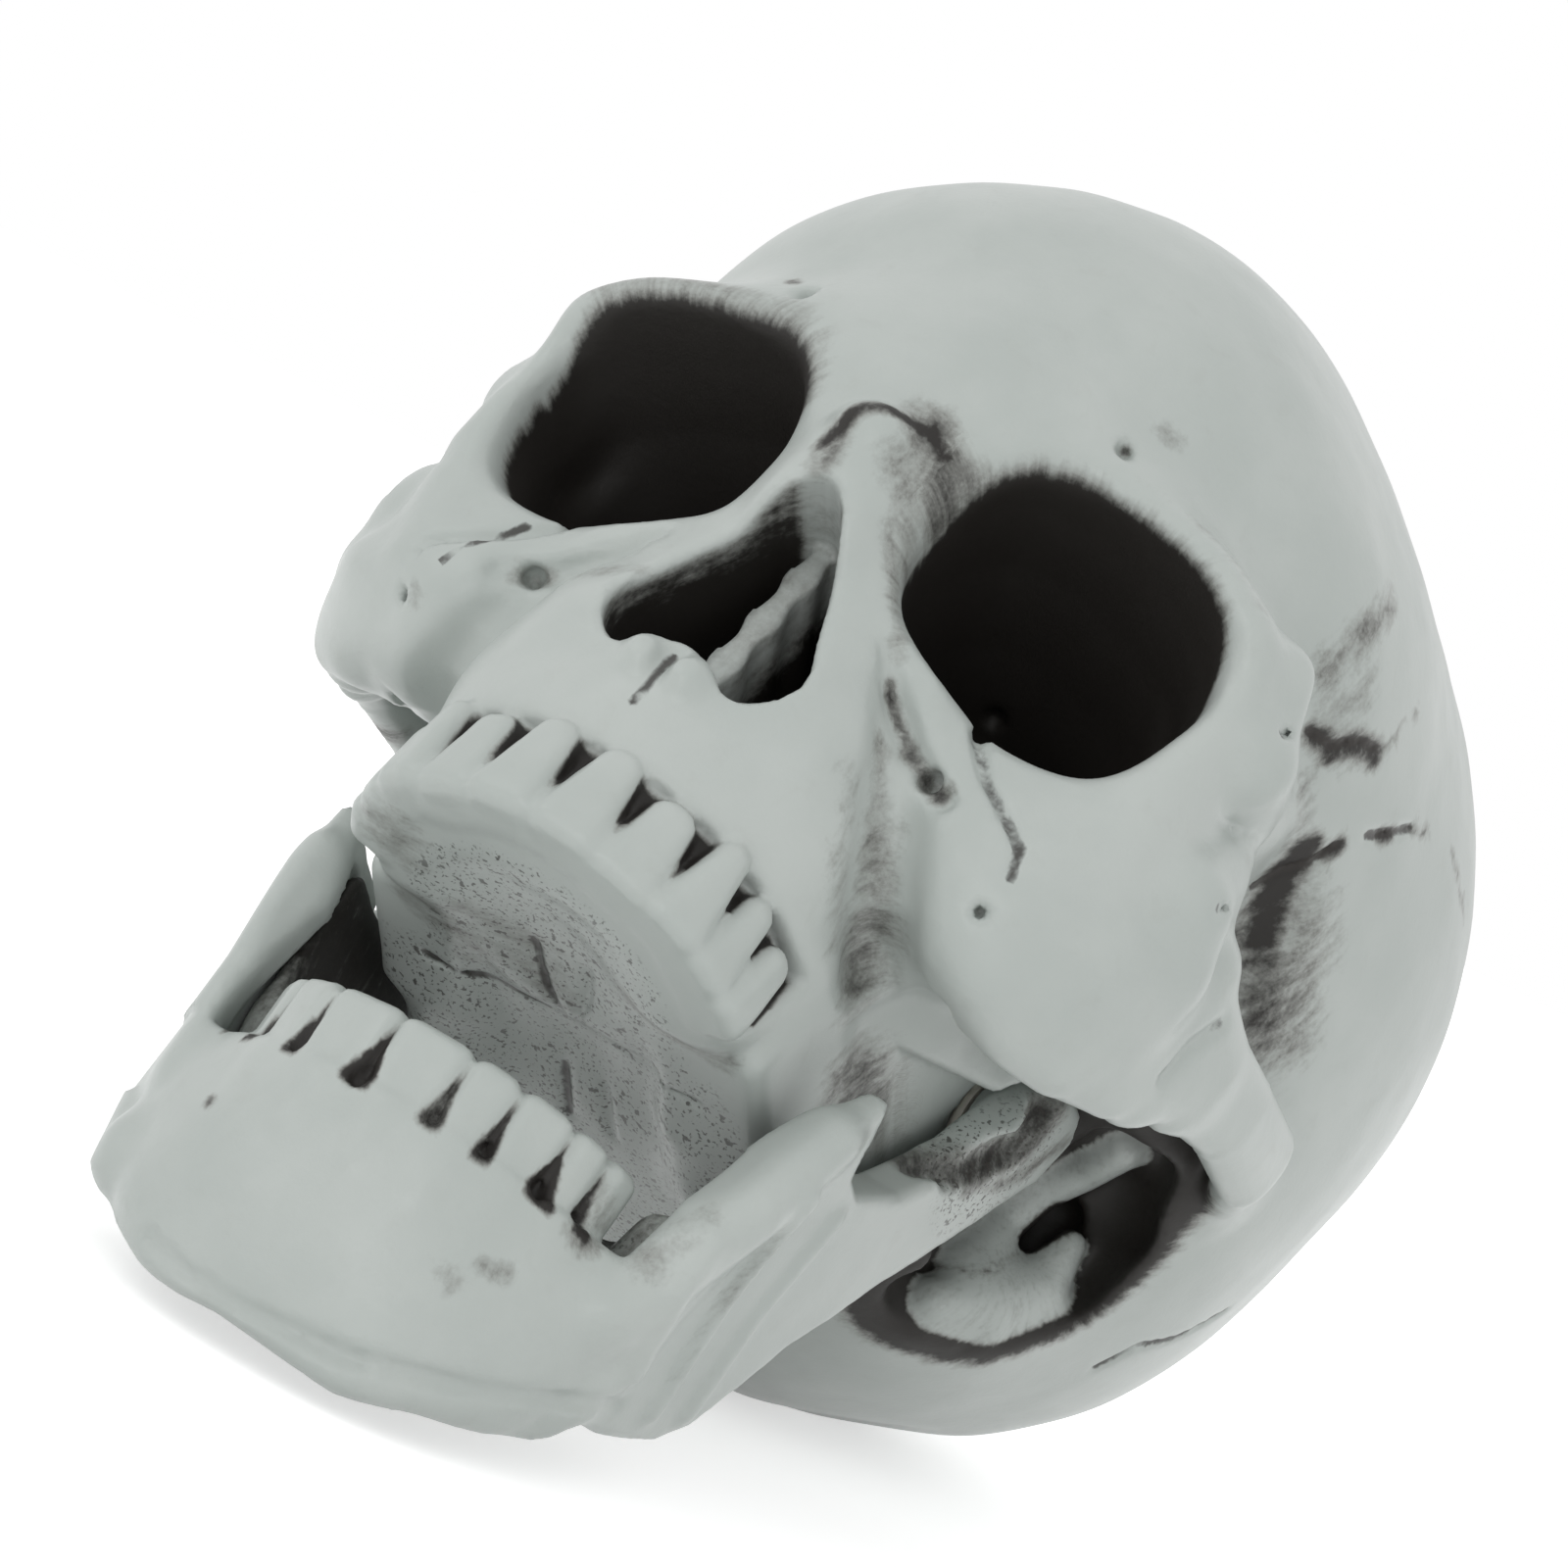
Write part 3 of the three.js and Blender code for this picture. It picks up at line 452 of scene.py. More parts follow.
# side border of the cheekbone, in three rolls side by side
border = seen_at(cranium, [(1318, 690), (1298, 755), (1290, 825), (1255, 880), (1226, 930), (1238, 985)])
cranium.lay_on(rope([p + 2.2 * PICTURE_IN for p in border], (2.4, 2.6, 3.0, 2.6, 2.4, 2.2)), 4)
inner_border = seen_at(cranium, [(1268, 785), (1254, 830), (1224, 880), (1200, 930), (1202, 985)])
cranium.lay_on(rope([p + 3.4 * PICTURE_IN for p in inner_border], (2, 3.6, 3.8, 3.8, 3.4)), 6)
mid_border = seen_at(cranium, [(1284, 785), (1262, 835), (1240, 875), (1218, 925)])
cranium.lay_on(rope([p + 2.8 * PICTURE_IN for p in mid_border], 3.4), 6)

# hollow of the ear, with lobes of bone left standing in it
bowl = seen_at(cranium, [(955, 1325), (1010, 1310), (1062, 1280), (1112, 1235), (1150, 1190)])
lobe = seen_at(cranium, [(955, 1334), (1005, 1336), (1060, 1318), (1094, 1275)])
arm = seen_at(cranium, [(985, 1304), (1024, 1252), (1068, 1218), (1112, 1200), (1152, 1178)])
drum = seen_at(cranium, [(1055, 1275), (1080, 1248)])
cranium.carve(rope([p + 1.0 * PICTURE_IN for p in bowl], (6, 8.5, 9.5, 8.5, 6)), 2)
lobe = [p + 6.0 * PICTURE_IN for p in lobe]
arm = [p + 7.0 * PICTURE_IN for p in arm]
ear_bones = rope(lobe, (3, 4.2, 4.0, 2.0)), rope(arm, (4.2, 2.8, 2.4, 2.4, 2.4))
for bone in ear_bones:
    cranium.lay_on(bone, 3.5)
cranium.carve(rope([p + 10 * PICTURE_IN for p in drum], (3.2, 3.6)), 1)

# creases, seams and pits of the face, each laid where the picture shows it
crease = seen_at(cranium, [(916, 700), (914, 780), (904, 870), (894, 940), (893, 990)])
cranium.carve(rope(crease, (1.4, 2.4, 3.2, 3.6, 3.6)), 4)
nose_side = seen_at(cranium, [(906, 660), (912, 710), (930, 770), (963, 814)])
cranium.carve(rope(nose_side, (0.7, 1.2, 1.5, 1.3)), 1.5)
cheek_seam = seen_at(cranium, [(1015, 734), (998, 753), (1007, 797), (1024, 831), (1041, 866), (1031, 896)])
cranium.carve(rope(cheek_seam, (1.3, 0.9, 0.7, 0.7, 0.6, 0.4)), 0.8)
arch_seam = seen_at(cranium, [(1249, 1045), (1215, 1070), (1187, 1103)])
cranium.carve(rope(arch_seam, 0.9), 1)
temple_seams = [seen_at(cranium, line) for line in (
    [(1310, 749), (1335, 745), (1358, 760), (1385, 756), (1410, 766)],
    [(1245, 927), (1280, 905), (1306, 888), (1335, 880), (1362, 862)],
    [(1395, 853), (1440, 845)],
)]
for seam in temple_seams:
    cranium.carve(rope(seam, 0.5), 0.8)
far_seam = seen_at(cranium, [(568, 512), (537, 538), (493, 552), (450, 575)])
brow_pit, cheek_pit, face_pit = seen_at(cranium, [(1148, 460), (1000, 931), (545, 590)])
for pit, wide in ((brow_pit, 1.1), (cheek_pit, 0.8), (face_pit, 1.4)):
    cranium.carve(rope(folded([pit, pit + 1.5 * PICTURE_IN]), wide), 1)
nasion = seen_at(cranium, [(900, 440)])[0]
cranium.lay_on(lump((0, nasion[1] + 2, nasion[2]), (5, 4.6, 4)), 1.6)
spine_crack = seen_at(cranium, [(683, 671), (660, 694), (640, 715)])
for p in spine_crack:
    p[0] = 0
spine = spine_crack[0]
for side in (1, -1):
    cranium.lay_on(lump((2.9 * side, spine[1] + 1.5, spine[2] - 1.5), (2.9, 4, 3.2)), 1.5)
cranium.carve(rope([p - np.array((0, 1.5, 0)) for p in spine_crack], (1.5, 0.9, 0.4)), 0.8)
palate_seam = seen_at(cranium, [(545, 958), (556, 1000), (569, 1028), (576, 1085), (580, 1135)])
palate_branch = seen_at(cranium, [(433, 972), (490, 995), (558, 1026)])
for seam in (palate_seam, palate_branch):
    cranium.carve(rope(folded(seam), 0.5), 0.6)
back_crack = seen_at(cranium, [(1120, 1395), (1160, 1374), (1200, 1366), (1250, 1338)])
cranium.carve(rope(back_crack, 0.6), 0.8)


def cast(name, clay, lies, most):
    """Casts the clay as a mesh of at most so many triangles, laid down in its place, and gives its points
    as they were in the clay."""
    skin = clay.skin
    start = [axis[0] for axis in clay.axes]
    if start[0] > 0:
        skin = np.concatenate([skin[::-1], skin])
        start[0] = -clay.axes[0][-1]
    grid = openvdb.FloatGrid(5.0)
    grid.copyFromArray(np.clip(skin, -5, 5).astype(np.float32))
    points, quads = grid.convertToQuads(isovalue=0.0)
    points = points * clay.step + np.array(start, np.float32)
    corner = points[quads]
    volume = np.einsum("ij,ij->i", corner[:, 0], np.cross(corner[:, 1], corner[:, 2])).sum()
    if volume < 0:
        quads = quads[:, ::-1]
    mesh = bpy.data.meshes.new(name)
    mesh.vertices.add(len(points))
    mesh.vertices.foreach_set("co", points.astype(np.float32).ravel())
    mesh.loops.add(quads.size)
    mesh.loops.foreach_set("vertex_index", quads.astype(np.int32).ravel())
    mesh.polygons.add(len(quads))
    mesh.polygons.foreach_set("loop_start", np.arange(0, quads.size, 4, dtype=np.int32))
    mesh.update(calc_edges=True)
    piece = bpy.data.objects.new(name, mesh)
    bpy.context.scene.collection.objects.link(piece)
    if 2 * len(quads) > most:
        bpy.context.view_layer.objects.active = piece
        thin = piece.modifiers.new("thin", "DECIMATE")
        thin.ratio = most / (2 * len(quads))
        bpy.ops.object.modifier_apply(modifier=thin.name)
        mesh = piece.data
    spots = np.zeros(len(mesh.vertices) * 3, np.float32)
    mesh.vertices.foreach_get("co", spots)
    spots = spots.reshape(-1, 3).astype(np.float64)
    turn = np.array(lies)
    mesh.vertices.foreach_set("co", ((spots @ turn[:3, :3].T + turn[:3, 3]) * MM).astype(np.float32).ravel())
    mesh.update()
    mesh.polygons.foreach_set("use_smooth", np.ones(len(mesh.polygons), bool))
    return piece, spots


def blurred(skin, wide):
    """The clay's skin softened over a width, by repeated averaging of neighbours."""
    soft = np.clip(skin, -8, 8)
    for axis in range(3):
        for _ in range(3):
            margins = [(wide + 1, wide) if i == axis else (0, 0) for i in range(3)]
            total = np.cumsum(np.pad(soft, margins, mode="edge"), axis=axis, dtype=np.float64)
            size = soft.shape[axis]
            upper = np.take(total, np.arange(2 * wide + 1, 2 * wide + 1 + size), axis=axis)
            lower = np.take(total, np.arange(0, size), axis=axis)
            soft = ((upper - lower) / (2 * wide + 1)).astype(np.float32)
    return soft


def hollowness(clay, points, wide):
    """How far each point lies in a hollow: more than nothing in a crease, less on a ridge."""
    return -clay.with_skin(blurred(clay.skin, wide)).depth(points)


OPEN_AIR = 13


def reach(points, line):
    """Distance of points from a line of spots. A stretch that leaps over air counts by its first spot."""
    if len(line) == 1:
        return np.linalg.norm(points - line[0], axis=1)
    best = np.full(len(points), 1e3)
    for a, b in zip(line, line[1:]):
        way = b - a if np.linalg.norm(b - a) < OPEN_AIR else 0 * a
        t = np.clip((points - a) @ way / max(way @ way, 1e-9), 0, 1)
        best = np.minimum(best, np.linalg.norm(points - a - t[:, None] * way, axis=1))
    return best


def ramp(value, low, high):
    """Smooth step from nothing at low to 1 at high."""
    t = np.clip((value - low) / (high - low), 0, 1)
    return t * t * (3 - 2 * t)


def give(piece, **marks):
    """Keeps values with the points of a piece, for its paint."""
    for mark, values in marks.items():
        values = np.asarray(values, np.float32)
        arrow = values.ndim == 2
        layer = piece.data.attributes.new(mark, "FLOAT_VECTOR" if arrow else "FLOAT", "POINT")
        layer.data.foreach_set("vector" if arrow else "value", values.ravel())


cranium_piece, head_at = cast("cranium", cranium, head_lies, 190000)

# the far side of the face, which the picture shows only at its edge, drawn in or swelled to meet it
hx, hy, hz = head_at.T
under_cheek = ramp(hx, -34, -44) * ramp(hz, -5, -20) * ramp(hy, -40, -50) * ramp(hy, -90, -78)
beside_cheek = ramp(hx, -43, -50) * ramp(hz, -20, -12) * ramp(hz, 7, 1) * ramp(hy, -36, -46)


def about(spot, wide):
    return np.exp(-((head_at - np.array(spot)) ** 2).sum(1) / wide ** 2)


pulls = [
    (beside_cheek, (1.4, 0, 0)),
    (under_cheek, (1.2, 0, 3.4)),
    (about((-42, -75, 58), 26) * ramp(hx, -2, -12), (-1.05, -1.55, 1.55)),
    (about((-56, -77, 19), 8), (1.6, 0.8, 0)),
    (about((-57.5, -74, 0), 8), (2.0, 1.0, 0)),
    (about((-52, -61.5, -20), 8), (-0.7, -1.0, 1.3)),
]
pulled = sum(np.outer(share, np.array(head_lies.to_3x3() @ Vector(way)) * MM) for share, way in pulls)
spots = np.zeros(len(head_at) * 3, np.float32)
cranium_piece.data.vertices.foreach_get("co", spots)
cranium_piece.data.vertices.foreach_set("co", (spots.reshape(-1, 3) + pulled).astype(np.float32).ravel())
cranium_piece.data.update()
at = folded(head_at)
x, y, z = at.T

# dark wash: deep in the sockets, the nose and the ears, brushed out over their rims; wash and painted shade
# in every crease
below = -uncut.depth(at)
deep, out, size = in_socket(x, y, z)
rim = at - socket_rim
across, up = rim @ socket_u, rim @ socket_v * np.sign(socket_v[2])
over_top = ramp(up - 0.35 * across, 0, 13)
around = np.arctan2(up, across)
wall = (np.abs(out - 1) < 0.14) & (y < -50)
turns = np.linspace(-math.pi, math.pi, 49)
edges = []
for low, high in zip(turns, turns[1:]):
    here = deep[wall & (around >= low) & (around < high)]
    edges.append(np.quantile(here, 0.02) if len(here) else 0)
rim_at = np.interp(around, (turns[1:] + turns[:-1]) / 2, edges, period=2 * math.pi)
near_eye = hx > 0
starts = np.where(near_eye, 3.0 - 4.0 * over_top, 1.5 - 3.6 * over_top)
wash = 1.15 * ramp(deep - rim_at, starts, starts + 5.5) * ramp(out, 1.4, 1.15) * ramp(y, -30, -45)
nose_in = outline_gap(nose_outline, x, z)
nose_wash = ramp(nose_in, 1.2, -0.5) * ramp(below, -0.8, 4.0) * (z > -24) * ramp(y, -60, -66)
nose_wash = nose_wash * (1 - 0.72 * ramp(x, 3.4, 2.0) * ramp(y, -74, -84))
wash = np.maximum(wash, 1.15 * nose_wash)
from_ear = reach(at, bowl)
lobes = np.minimum(*(bone[2](x, y, z) for bone in ear_bones))
ear_wash = 1.2 * ramp(from_ear, 14.5, 8) * ramp(y, -34, -30) * (1 - 0.85 * ramp(lobes, 1.6, 0.4))
wash = np.maximum(wash, ear_wash)
wash = np.maximum(wash, 1.2 * ramp(reach(at, [p + 9 * PICTURE_IN for p in drum]), 6, 4))
# painted shade and dark wash in every crease, darker the deeper the hollow
crevice = hollowness(cranium, at, 3)
wash = np.maximum(wash, 0.5 * ramp(crevice, 0.4, 2.2))

# strokes of the brush where the picture shows them: their pixels, half width in millimetres and strength
face_strokes = [
    ([(846, 449), (872, 421), (915, 421), (950, 441), (963, 467)], 1.6, 0.95),
    ([(858, 440), (838, 470)], 2.4, 0.6),
    ([(945, 440), (962, 480), (958, 530)], 4.5, 0.62),
    ([(912, 470), (925, 530), (925, 580)], 3.4, 0.45),
    ([(955, 450), (975, 480), (1000, 500)], 3.5, 0.5),
    ([(640, 632), (690, 600), (740, 570)], 2.5, 0.5),
    ([(907, 536), (912, 600), (915, 666)], 1.8, 0.42),
    ([(907, 700), (912, 730), (930, 772)], 1.1, 0.7),
    ([(930, 772), (945, 795), (963, 814)], 1.8, 0.8),
    # painted shade with dark wash along the crease from beside the nose down the cheek
    ([(896, 760), (896, 850)], 2, 0.42),
    ([(896, 850), (890, 900), (886, 940)], 3.4, 0.5),
    ([(886, 940), (878, 970), (872, 1005)], 5.2, 0.55),
    ([(862, 800), (857, 880), (852, 960)], 3.0, 0.3),
    ([(870, 1100), (900, 1135), (960, 1160)], 6.5, 0.6),
    ([(400, 850), (430, 920), (480, 960)], 6, 0.42),
    ([(540, 960), (560, 1000)], 5, 0.4),
    ([(470, 925), (545, 965), (640, 1018), (740, 1082)], 2.6, 0.42),
    ([(530, 587), (560, 592)], 1.9, 0.5),
    ([(590, 588), (655, 579)], 1.8, 0.34),
    ([(418, 611)], 2.2, 0.4),
    ([(811, 294)], 1.2, 0.9),
    ([(1148, 462)], 1.2, 0.8),
    ([(1185, 445), (1200, 450)], 2.5, 0.34),
    ([(1000, 931)], 1.1, 0.6),
    ([(387, 745), (370, 790)], 4, 0.7),
]
side_strokes = [
    ([(1350, 690), (1385, 650), (1419, 614)], 3, 0.5),
    ([(1352, 692), (1365, 720), (1390, 700)], 5, 0.34),
    ([(1336, 748), (1346, 754), (1356, 768), (1376, 756), (1402, 770)], 2.4, 0.8),
    ([(1410, 764), (1430, 742), (1445, 725)], 1.2, 0.55),
    ([(1300, 900), (1318, 880), (1334, 864)], 2.8, 1.0),
    ([(1350, 868), (1364, 860)], 1.8, 0.85),
    ([(1404, 853), (1416, 850)], 1.5, 0.8),
    ([(1440, 846), (1456, 850)], 1.2, 0.5),
    ([(1480, 870), (1490, 905), (1494, 935)], 1.3, 0.5),
    ([(1330, 800), (1326, 838), (1314, 870)], 2.6, 0.4),
    ([(1308, 890), (1294, 925), (1286, 960)], 3.6, 0.9),
    ([(1284, 950), (1284, 1000), (1286, 1060), (1290, 1110)], 5.5, 0.66),
    ([(1305, 930), (1318, 980), (1308, 1050)], 8, 0.5),
    ([(1335, 925), (1350, 960), (1325, 1020)], 6, 0.34),
]
for strokes, skin_at in ((face_strokes, head_at), (side_strokes, at)):
    for pixels, wide, strength in strokes:
        stroke = ramp(reach(skin_at, seen_at(cranium, pixels)), wide * 1.6, 0.1 * wide)
        wash = np.maximum(wash, strength * stroke)
in_gap = arch_gap(x, y, *UPPER_ARCH)
gap_wash = ramp(in_gap, -0.5, -1.8) * ramp(in_gap, -5.5, -4.5)
gap_wash = gap_wash * ramp(z, GUM_LINE + 0.6, GUM_LINE - 1.8) * ramp(z, -43.5, -41)
wash = np.maximum(wash, 1.1 * gap_wash * (y < -72))

# hairline cracks, specks on the palate and the forehead, and the way the brush went
cracks = np.zeros(len(at))
face_seams = [cheek_seam, arch_seam, palate_seam, palate_branch, spine_crack, far_seam]
for line in face_seams + temple_seams + [back_crack]:
    cracks = np.maximum(cracks, ramp(reach(head_at, line), 2.4, 0))
inside_arch = ramp(arch_gap(x, y, 19, 17), 1, -2)
under = ramp(z, -14, -26) * np.where(y < -62, inside_arch, ramp(x, 30, 22)) * ramp(y, 14, -8)
forehead_specks = ramp(reach(at, seen_at(cranium, [(1050, 230), (1150, 290), (1250, 350)])), 26, 4)
BRUSHED = np.array((0.35, 1, 0.35))
flow = at * BRUSHED
round_socket = np.stack([across, up], axis=1)
round_socket = round_socket / np.maximum(np.linalg.norm(round_socket, axis=1), 1e-6)[:, None]
at_socket = ramp(out, 1.45, 1.3) * ramp(y, -36, -44) * ramp(nose_in, 0.5, 2.5) * ramp(x, 7, 9)
socket_flow = np.stack([17 * round_socket[:, 0], 17 * round_socket[:, 1] + 200, 0.12 * below], axis=1)
flow = np.where(at_socket[:, None] > 0.5, socket_flow, flow)
ear_turn = at - np.mean(bowl, axis=0)
ear_turn = ear_turn / np.maximum(np.linalg.norm(ear_turn, axis=1), 1e-6)[:, None]
flow = np.where((from_ear < 17.6)[:, None], 19 * ear_turn + np.array((0, 400, 0)), flow)
give(cranium_piece, wash=wash, crack=cracks, specks=np.maximum(under, 0.3 * forehead_specks), flow=flow * MM)
PALE, PALER, YELLOWED = (0.44, 0.478, 0.456, 1), (0.485, 0.52, 0.498, 1), (0.36, 0.37, 0.34, 1)
THIN_WASH_AND_SHADE, THICK_WASH_AND_SHADE = (0.105, 0.092, 0.078, 1), (0.0135, 0.0115, 0.0095, 1)
CRACK_BROWN, SPECK_BROWN = (0.022, 0.018, 0.015, 1), (0.035, 0.03, 0.026, 1)


def painted_plastic(name):
    """Waxy pale grey-green plastic with a rubbed dark brown wash that also carries painted shade, specks and
    hairline cracks.
    """
    paint = bpy.data.materials.new(name)
    paint.use_nodes = True
    tree = paint.node_tree
    shader = tree.nodes["Principled BSDF"]

    def feed(socket, value):
        if isinstance(value, bpy.types.NodeSocket):
            tree.links.new(value, socket)
        else:
            socket.default_value = value

    def put(kind, settings=None, **inputs):
        node = tree.nodes.new(kind)
        for key, value in (settings or {}).items():
            setattr(node, key, value)
        for key, value in inputs.items():
            numbered = key[0] == "i" and key[1:].isdigit()
            feed(node.inputs[int(key[1:]) if numbered else key], value)
        return node

    def maths(operation, a, b, clamp=False):
        return put("ShaderNodeMath", {"operation": operation, "use_clamp": clamp}, i0=a, i1=b).outputs[0]

    def noise(scale, detail, rough=0.55, warp=0.0):
        return put("ShaderNodeTexNoise", None, Vector=place, Scale=scale, Detail=detail, Roughness=rough,
                   Distortion=warp).outputs["Fac"]

    def span(value, low, high, to_low=0.0, to_high=1.0):
        return put("ShaderNodeMapRange", {"interpolation_type": "SMOOTHSTEP"}, i0=value, i1=low, i2=high,
                   i3=to_low, i4=to_high).outputs[0]

    def mark(layer):
        return put("ShaderNodeAttribute", {"attribute_name": layer}).outputs["Fac"]

    def mixed(share, a, b):
        node = put("ShaderNodeMix", {"data_type": "RGBA"})
        for number, value in ((0, share), (6, a), (7, b)):
            feed(node.inputs[number], value)
        return node.outputs[2]

    def sway(value, amount):
        """A noise about nothing, by an amount."""
        return maths("MULTIPLY", maths("SUBTRACT", value, 0.5), amount)

    place = put("ShaderNodeTexCoord").outputs["Object"]
    fine = noise(1500, 3, 0.65)
    middling = noise(230, 5, 0.62, 0.4)
    broad = noise(45, 4, 0.55)
    flow = put("ShaderNodeAttribute", {"attribute_name": "flow"}).outputs["Vector"]
    bristle = put("ShaderNodeTexNoise", None, Vector=flow, Scale=620, Detail=4, Roughness=0.6).outputs["Fac"]
    # the dark wash, which also holds painted shade in the creases, broken up by bristles and grain
    wash = mark("wash")
    rubbed = maths("ADD", wash, sway(bristle, 0.75))
    rubbed = maths("ADD", rubbed, sway(fine, 0.3))
    rubbed = maths("ADD", rubbed, sway(middling, 0.35))
    touched = span(wash, 0.03, 0.2)
    thick = maths("MULTIPLY", span(rubbed, 0.4, 0.86), touched)
    thin = maths("MULTIPLY", span(rubbed, 0.12, 0.62), touched)
    crack = span(maths("ADD", mark("crack"), sway(middling, 0.5)), 0.72, 0.92)
    dots = span(noise(820, 2, 0.5), 0.62, 0.68)
    small_dots = span(noise(1900, 2, 0.5), 0.585, 0.66)
    where = maths("ADD", mark("specks"), sway(broad, 1.4))
    dust = maths("MULTIPLY", maths("MAXIMUM", dots, small_dots), span(where, 0.4, 1.0))
    pale = mixed(span(broad, 0.35, 0.7), PALE, PALER)
    pale = mixed(maths("MULTIPLY", span(middling, 0.55, 0.75), 0.12), pale, YELLOWED)
    half = mixed(maths("MULTIPLY", thin, 0.6), pale, THIN_WASH_AND_SHADE)
    dark = mixed(thick, half, THICK_WASH_AND_SHADE)
    dark = mixed(maths("MULTIPLY", crack, 0.9), dark, CRACK_BROWN)
    dark = mixed(maths("MULTIPLY", dust, 0.8), dark, SPECK_BROWN)
    tree.links.new(dark, shader.inputs["Base Color"])
    rough = maths("ADD", span(thick, 0.0, 1.0, 0.34, 0.6), sway(middling, 0.12))
    tree.links.new(rough, shader.inputs["Roughness"])
    grain = maths("ADD", maths("MULTIPLY", fine, 0.25), maths("MULTIPLY", middling, 0.75))
    grain = maths("SUBTRACT", grain, maths("MULTIPLY", crack, 0.3))
    bump = put("ShaderNodeBump", None, Strength=0.22, Distance=0.0005, Height=grain)
    tree.links.new(bump.outputs[0], shader.inputs["Normal"])
    shader.inputs["IOR"].default_value = 1.46
    return paint


plastic = painted_plastic("painted_plastic")
cranium_piece.data.materials.append(plastic)
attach(cranium_piece, "cranium")
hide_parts("cranium_shell")


# The lower jaw. Two plastic shells, an outer one with the chin, the side plates and the lower teeth, and
# a thin inner one let into its back; the outer is smoothed, and its crowns and ridges are laid on.
JAW_STEP = 0.7
jaw_lies = head_lies @ jaw_swing


def clay_like(node):
    """Clay in the form of a solid of the jaw, as it is with the mouth shut."""
    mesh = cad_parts[node].data
    corners = np.zeros(len(mesh.vertices) * 3, np.float32)
    mesh.vertices.foreach_get("co", corners)
    back = np.array(jaw_lies.inverted())
    corners = (corners.reshape(-1, 3) / MM) @ back[:3, :3].T + back[:3, 3]
    mesh.calc_loop_triangles()
    faces = np.zeros(len(mesh.loop_triangles) * 3, np.int32)
    mesh.loop_triangles.foreach_get("vertices", faces)
    clay = Clay((-47, -104, -94), (47, -8, 8), JAW_STEP)
    shell = openvdb.FloatGrid.createLevelSetFromPolygons(
        ((corners - [a[0] for a in clay.axes]) / JAW_STEP).astype(np.float32),
        triangles=faces.reshape(-1, 3).astype(np.uint32),
        transform=openvdb.createLinearTransform(1.0), halfWidth=8)
    raw = np.full(clay.skin.shape, 8.0, np.float32)
    shell.copyToArray(raw, ijk=(0, 0, 0))
    clay.skin = raw * JAW_STEP
    return clay


jaw = clay_like("jaw_outer_shell")
jx, jy, jz = np.meshgrid(*jaw.axes, indexing="ij", sparse=True)
outside = np.clip((arch_gap(jx, jy, 27, 19) + 3) / 4, 0, 1) * np.clip((-66 - jy) / 8, 0, 1) + 0 * jz
jaw.skin = outside * blurred(jaw.skin, 4) + (1 - outside) * blurred(jaw.skin, 1)
jaw.skin = jaw.skin + np.maximum(jy + 70, 0) * 0.8

# side plates: condyle and neck at the back, notch, pointed front tip and the corner under the ear
RAMUS = [(-45, -60.5), (-39.5, -46.5), (-30, -31.5), (-20.5, -17), (-14.5, -8), (-14.5, -1), (-19, 1.2),
         (-25, 0.8), (-30, -5), (-34, -14), (-44, -25), (-54, -30), (-59, -29.5), (-64.2, -23),
         (-65.6, -21.9), (-67, -24), (-69, -28), (-73, -38), (-77, -46), (-75.5, -56), (-72, -71),
         (-62, -69.5), (-50, -65)]
LINER = [(-47, -60), (-30, -29), (-40, -26), (-50, -28.5), (-58, -29.5), (-63, -26.5), (-66.5, -27.5),
         (-68, -32), (-74, -50), (-72, -72), (-58, -68.5)]
PLATE_EDGE = 1.5


def side_plate(x, y, z):
    face = RAMUS_SPREAD + RAMUS_LEAN * z
    thick = RAMUS_THICK - 3 * ramp(z, -36, -22) * ramp(y, -48, -54)
    flat = outline_gap(RAMUS, y, z) + PLATE_EDGE
    across = np.abs(np.abs(x) - face + thick / 2) - thick / 2 + PLATE_EDGE
    rim = np.hypot(np.maximum(flat, 0), np.maximum(across, 0)) - PLATE_EDGE
    return rim + np.minimum(np.maximum(flat, across), 0)


def liner_room(x, y, z):
    face = RAMUS_SPREAD + RAMUS_LEAN * z
    inner = np.abs(x) - (face - RAMUS_THICK + 2.8)
    return np.maximum(np.maximum(outline_gap(LINER, y, z) + 1.0, inner), face - RAMUS_THICK - 6 - np.abs(x))


jaw.lay_on(((-46, -80, -74), (46, -12, 4), side_plate), 2.5)
for side in (1, -1):
    front_edge = [(36.2 * side, -69, -30), (35 * side, -74, -42), (32.5 * side, -77, -51),
                  (30 * side, -78, -60)]
    jaw.lay_on(rope(front_edge, (2.0, 2.8, 3.2, 3.0)), 5)
jaw.lay_on(rope([(-30, -80, -73.5), (-33.5, -72, -72), (-35, -72, -62), (-35.5, -73, -50)], 3.2), 6)
jaw.lay_on(rope([(-35.6, -62.5, -26.6), (-35.2, -54, -28)], 2.3), 2)
jaw.skin = jaw.skin + 0.2 * uneven(jx, jy + 7, jz)
jaw.carve(((-46, -76, -74), (46, -28, -24), liner_room), 0.2)

# the chin hangs a little rolled: its far corner and its border are cut higher than the near ones
open_jaw = np.array(jaw_swing)
far_corner = [(372, 770), (354, 800), (296, 870), (232, 975), (180, 1045), (126, 1115), (91, 1185),
              (89, 1220), (104, 1256), (138, 1294), (180, 1321), (220, 1340), (260, 1368), (300, 1397),
              (340, 1419), (420, 1450), (480, 1467), (560, 1480), (1000, 1484), (1000, 600)]
PIXELS_PER_MM = 8.6


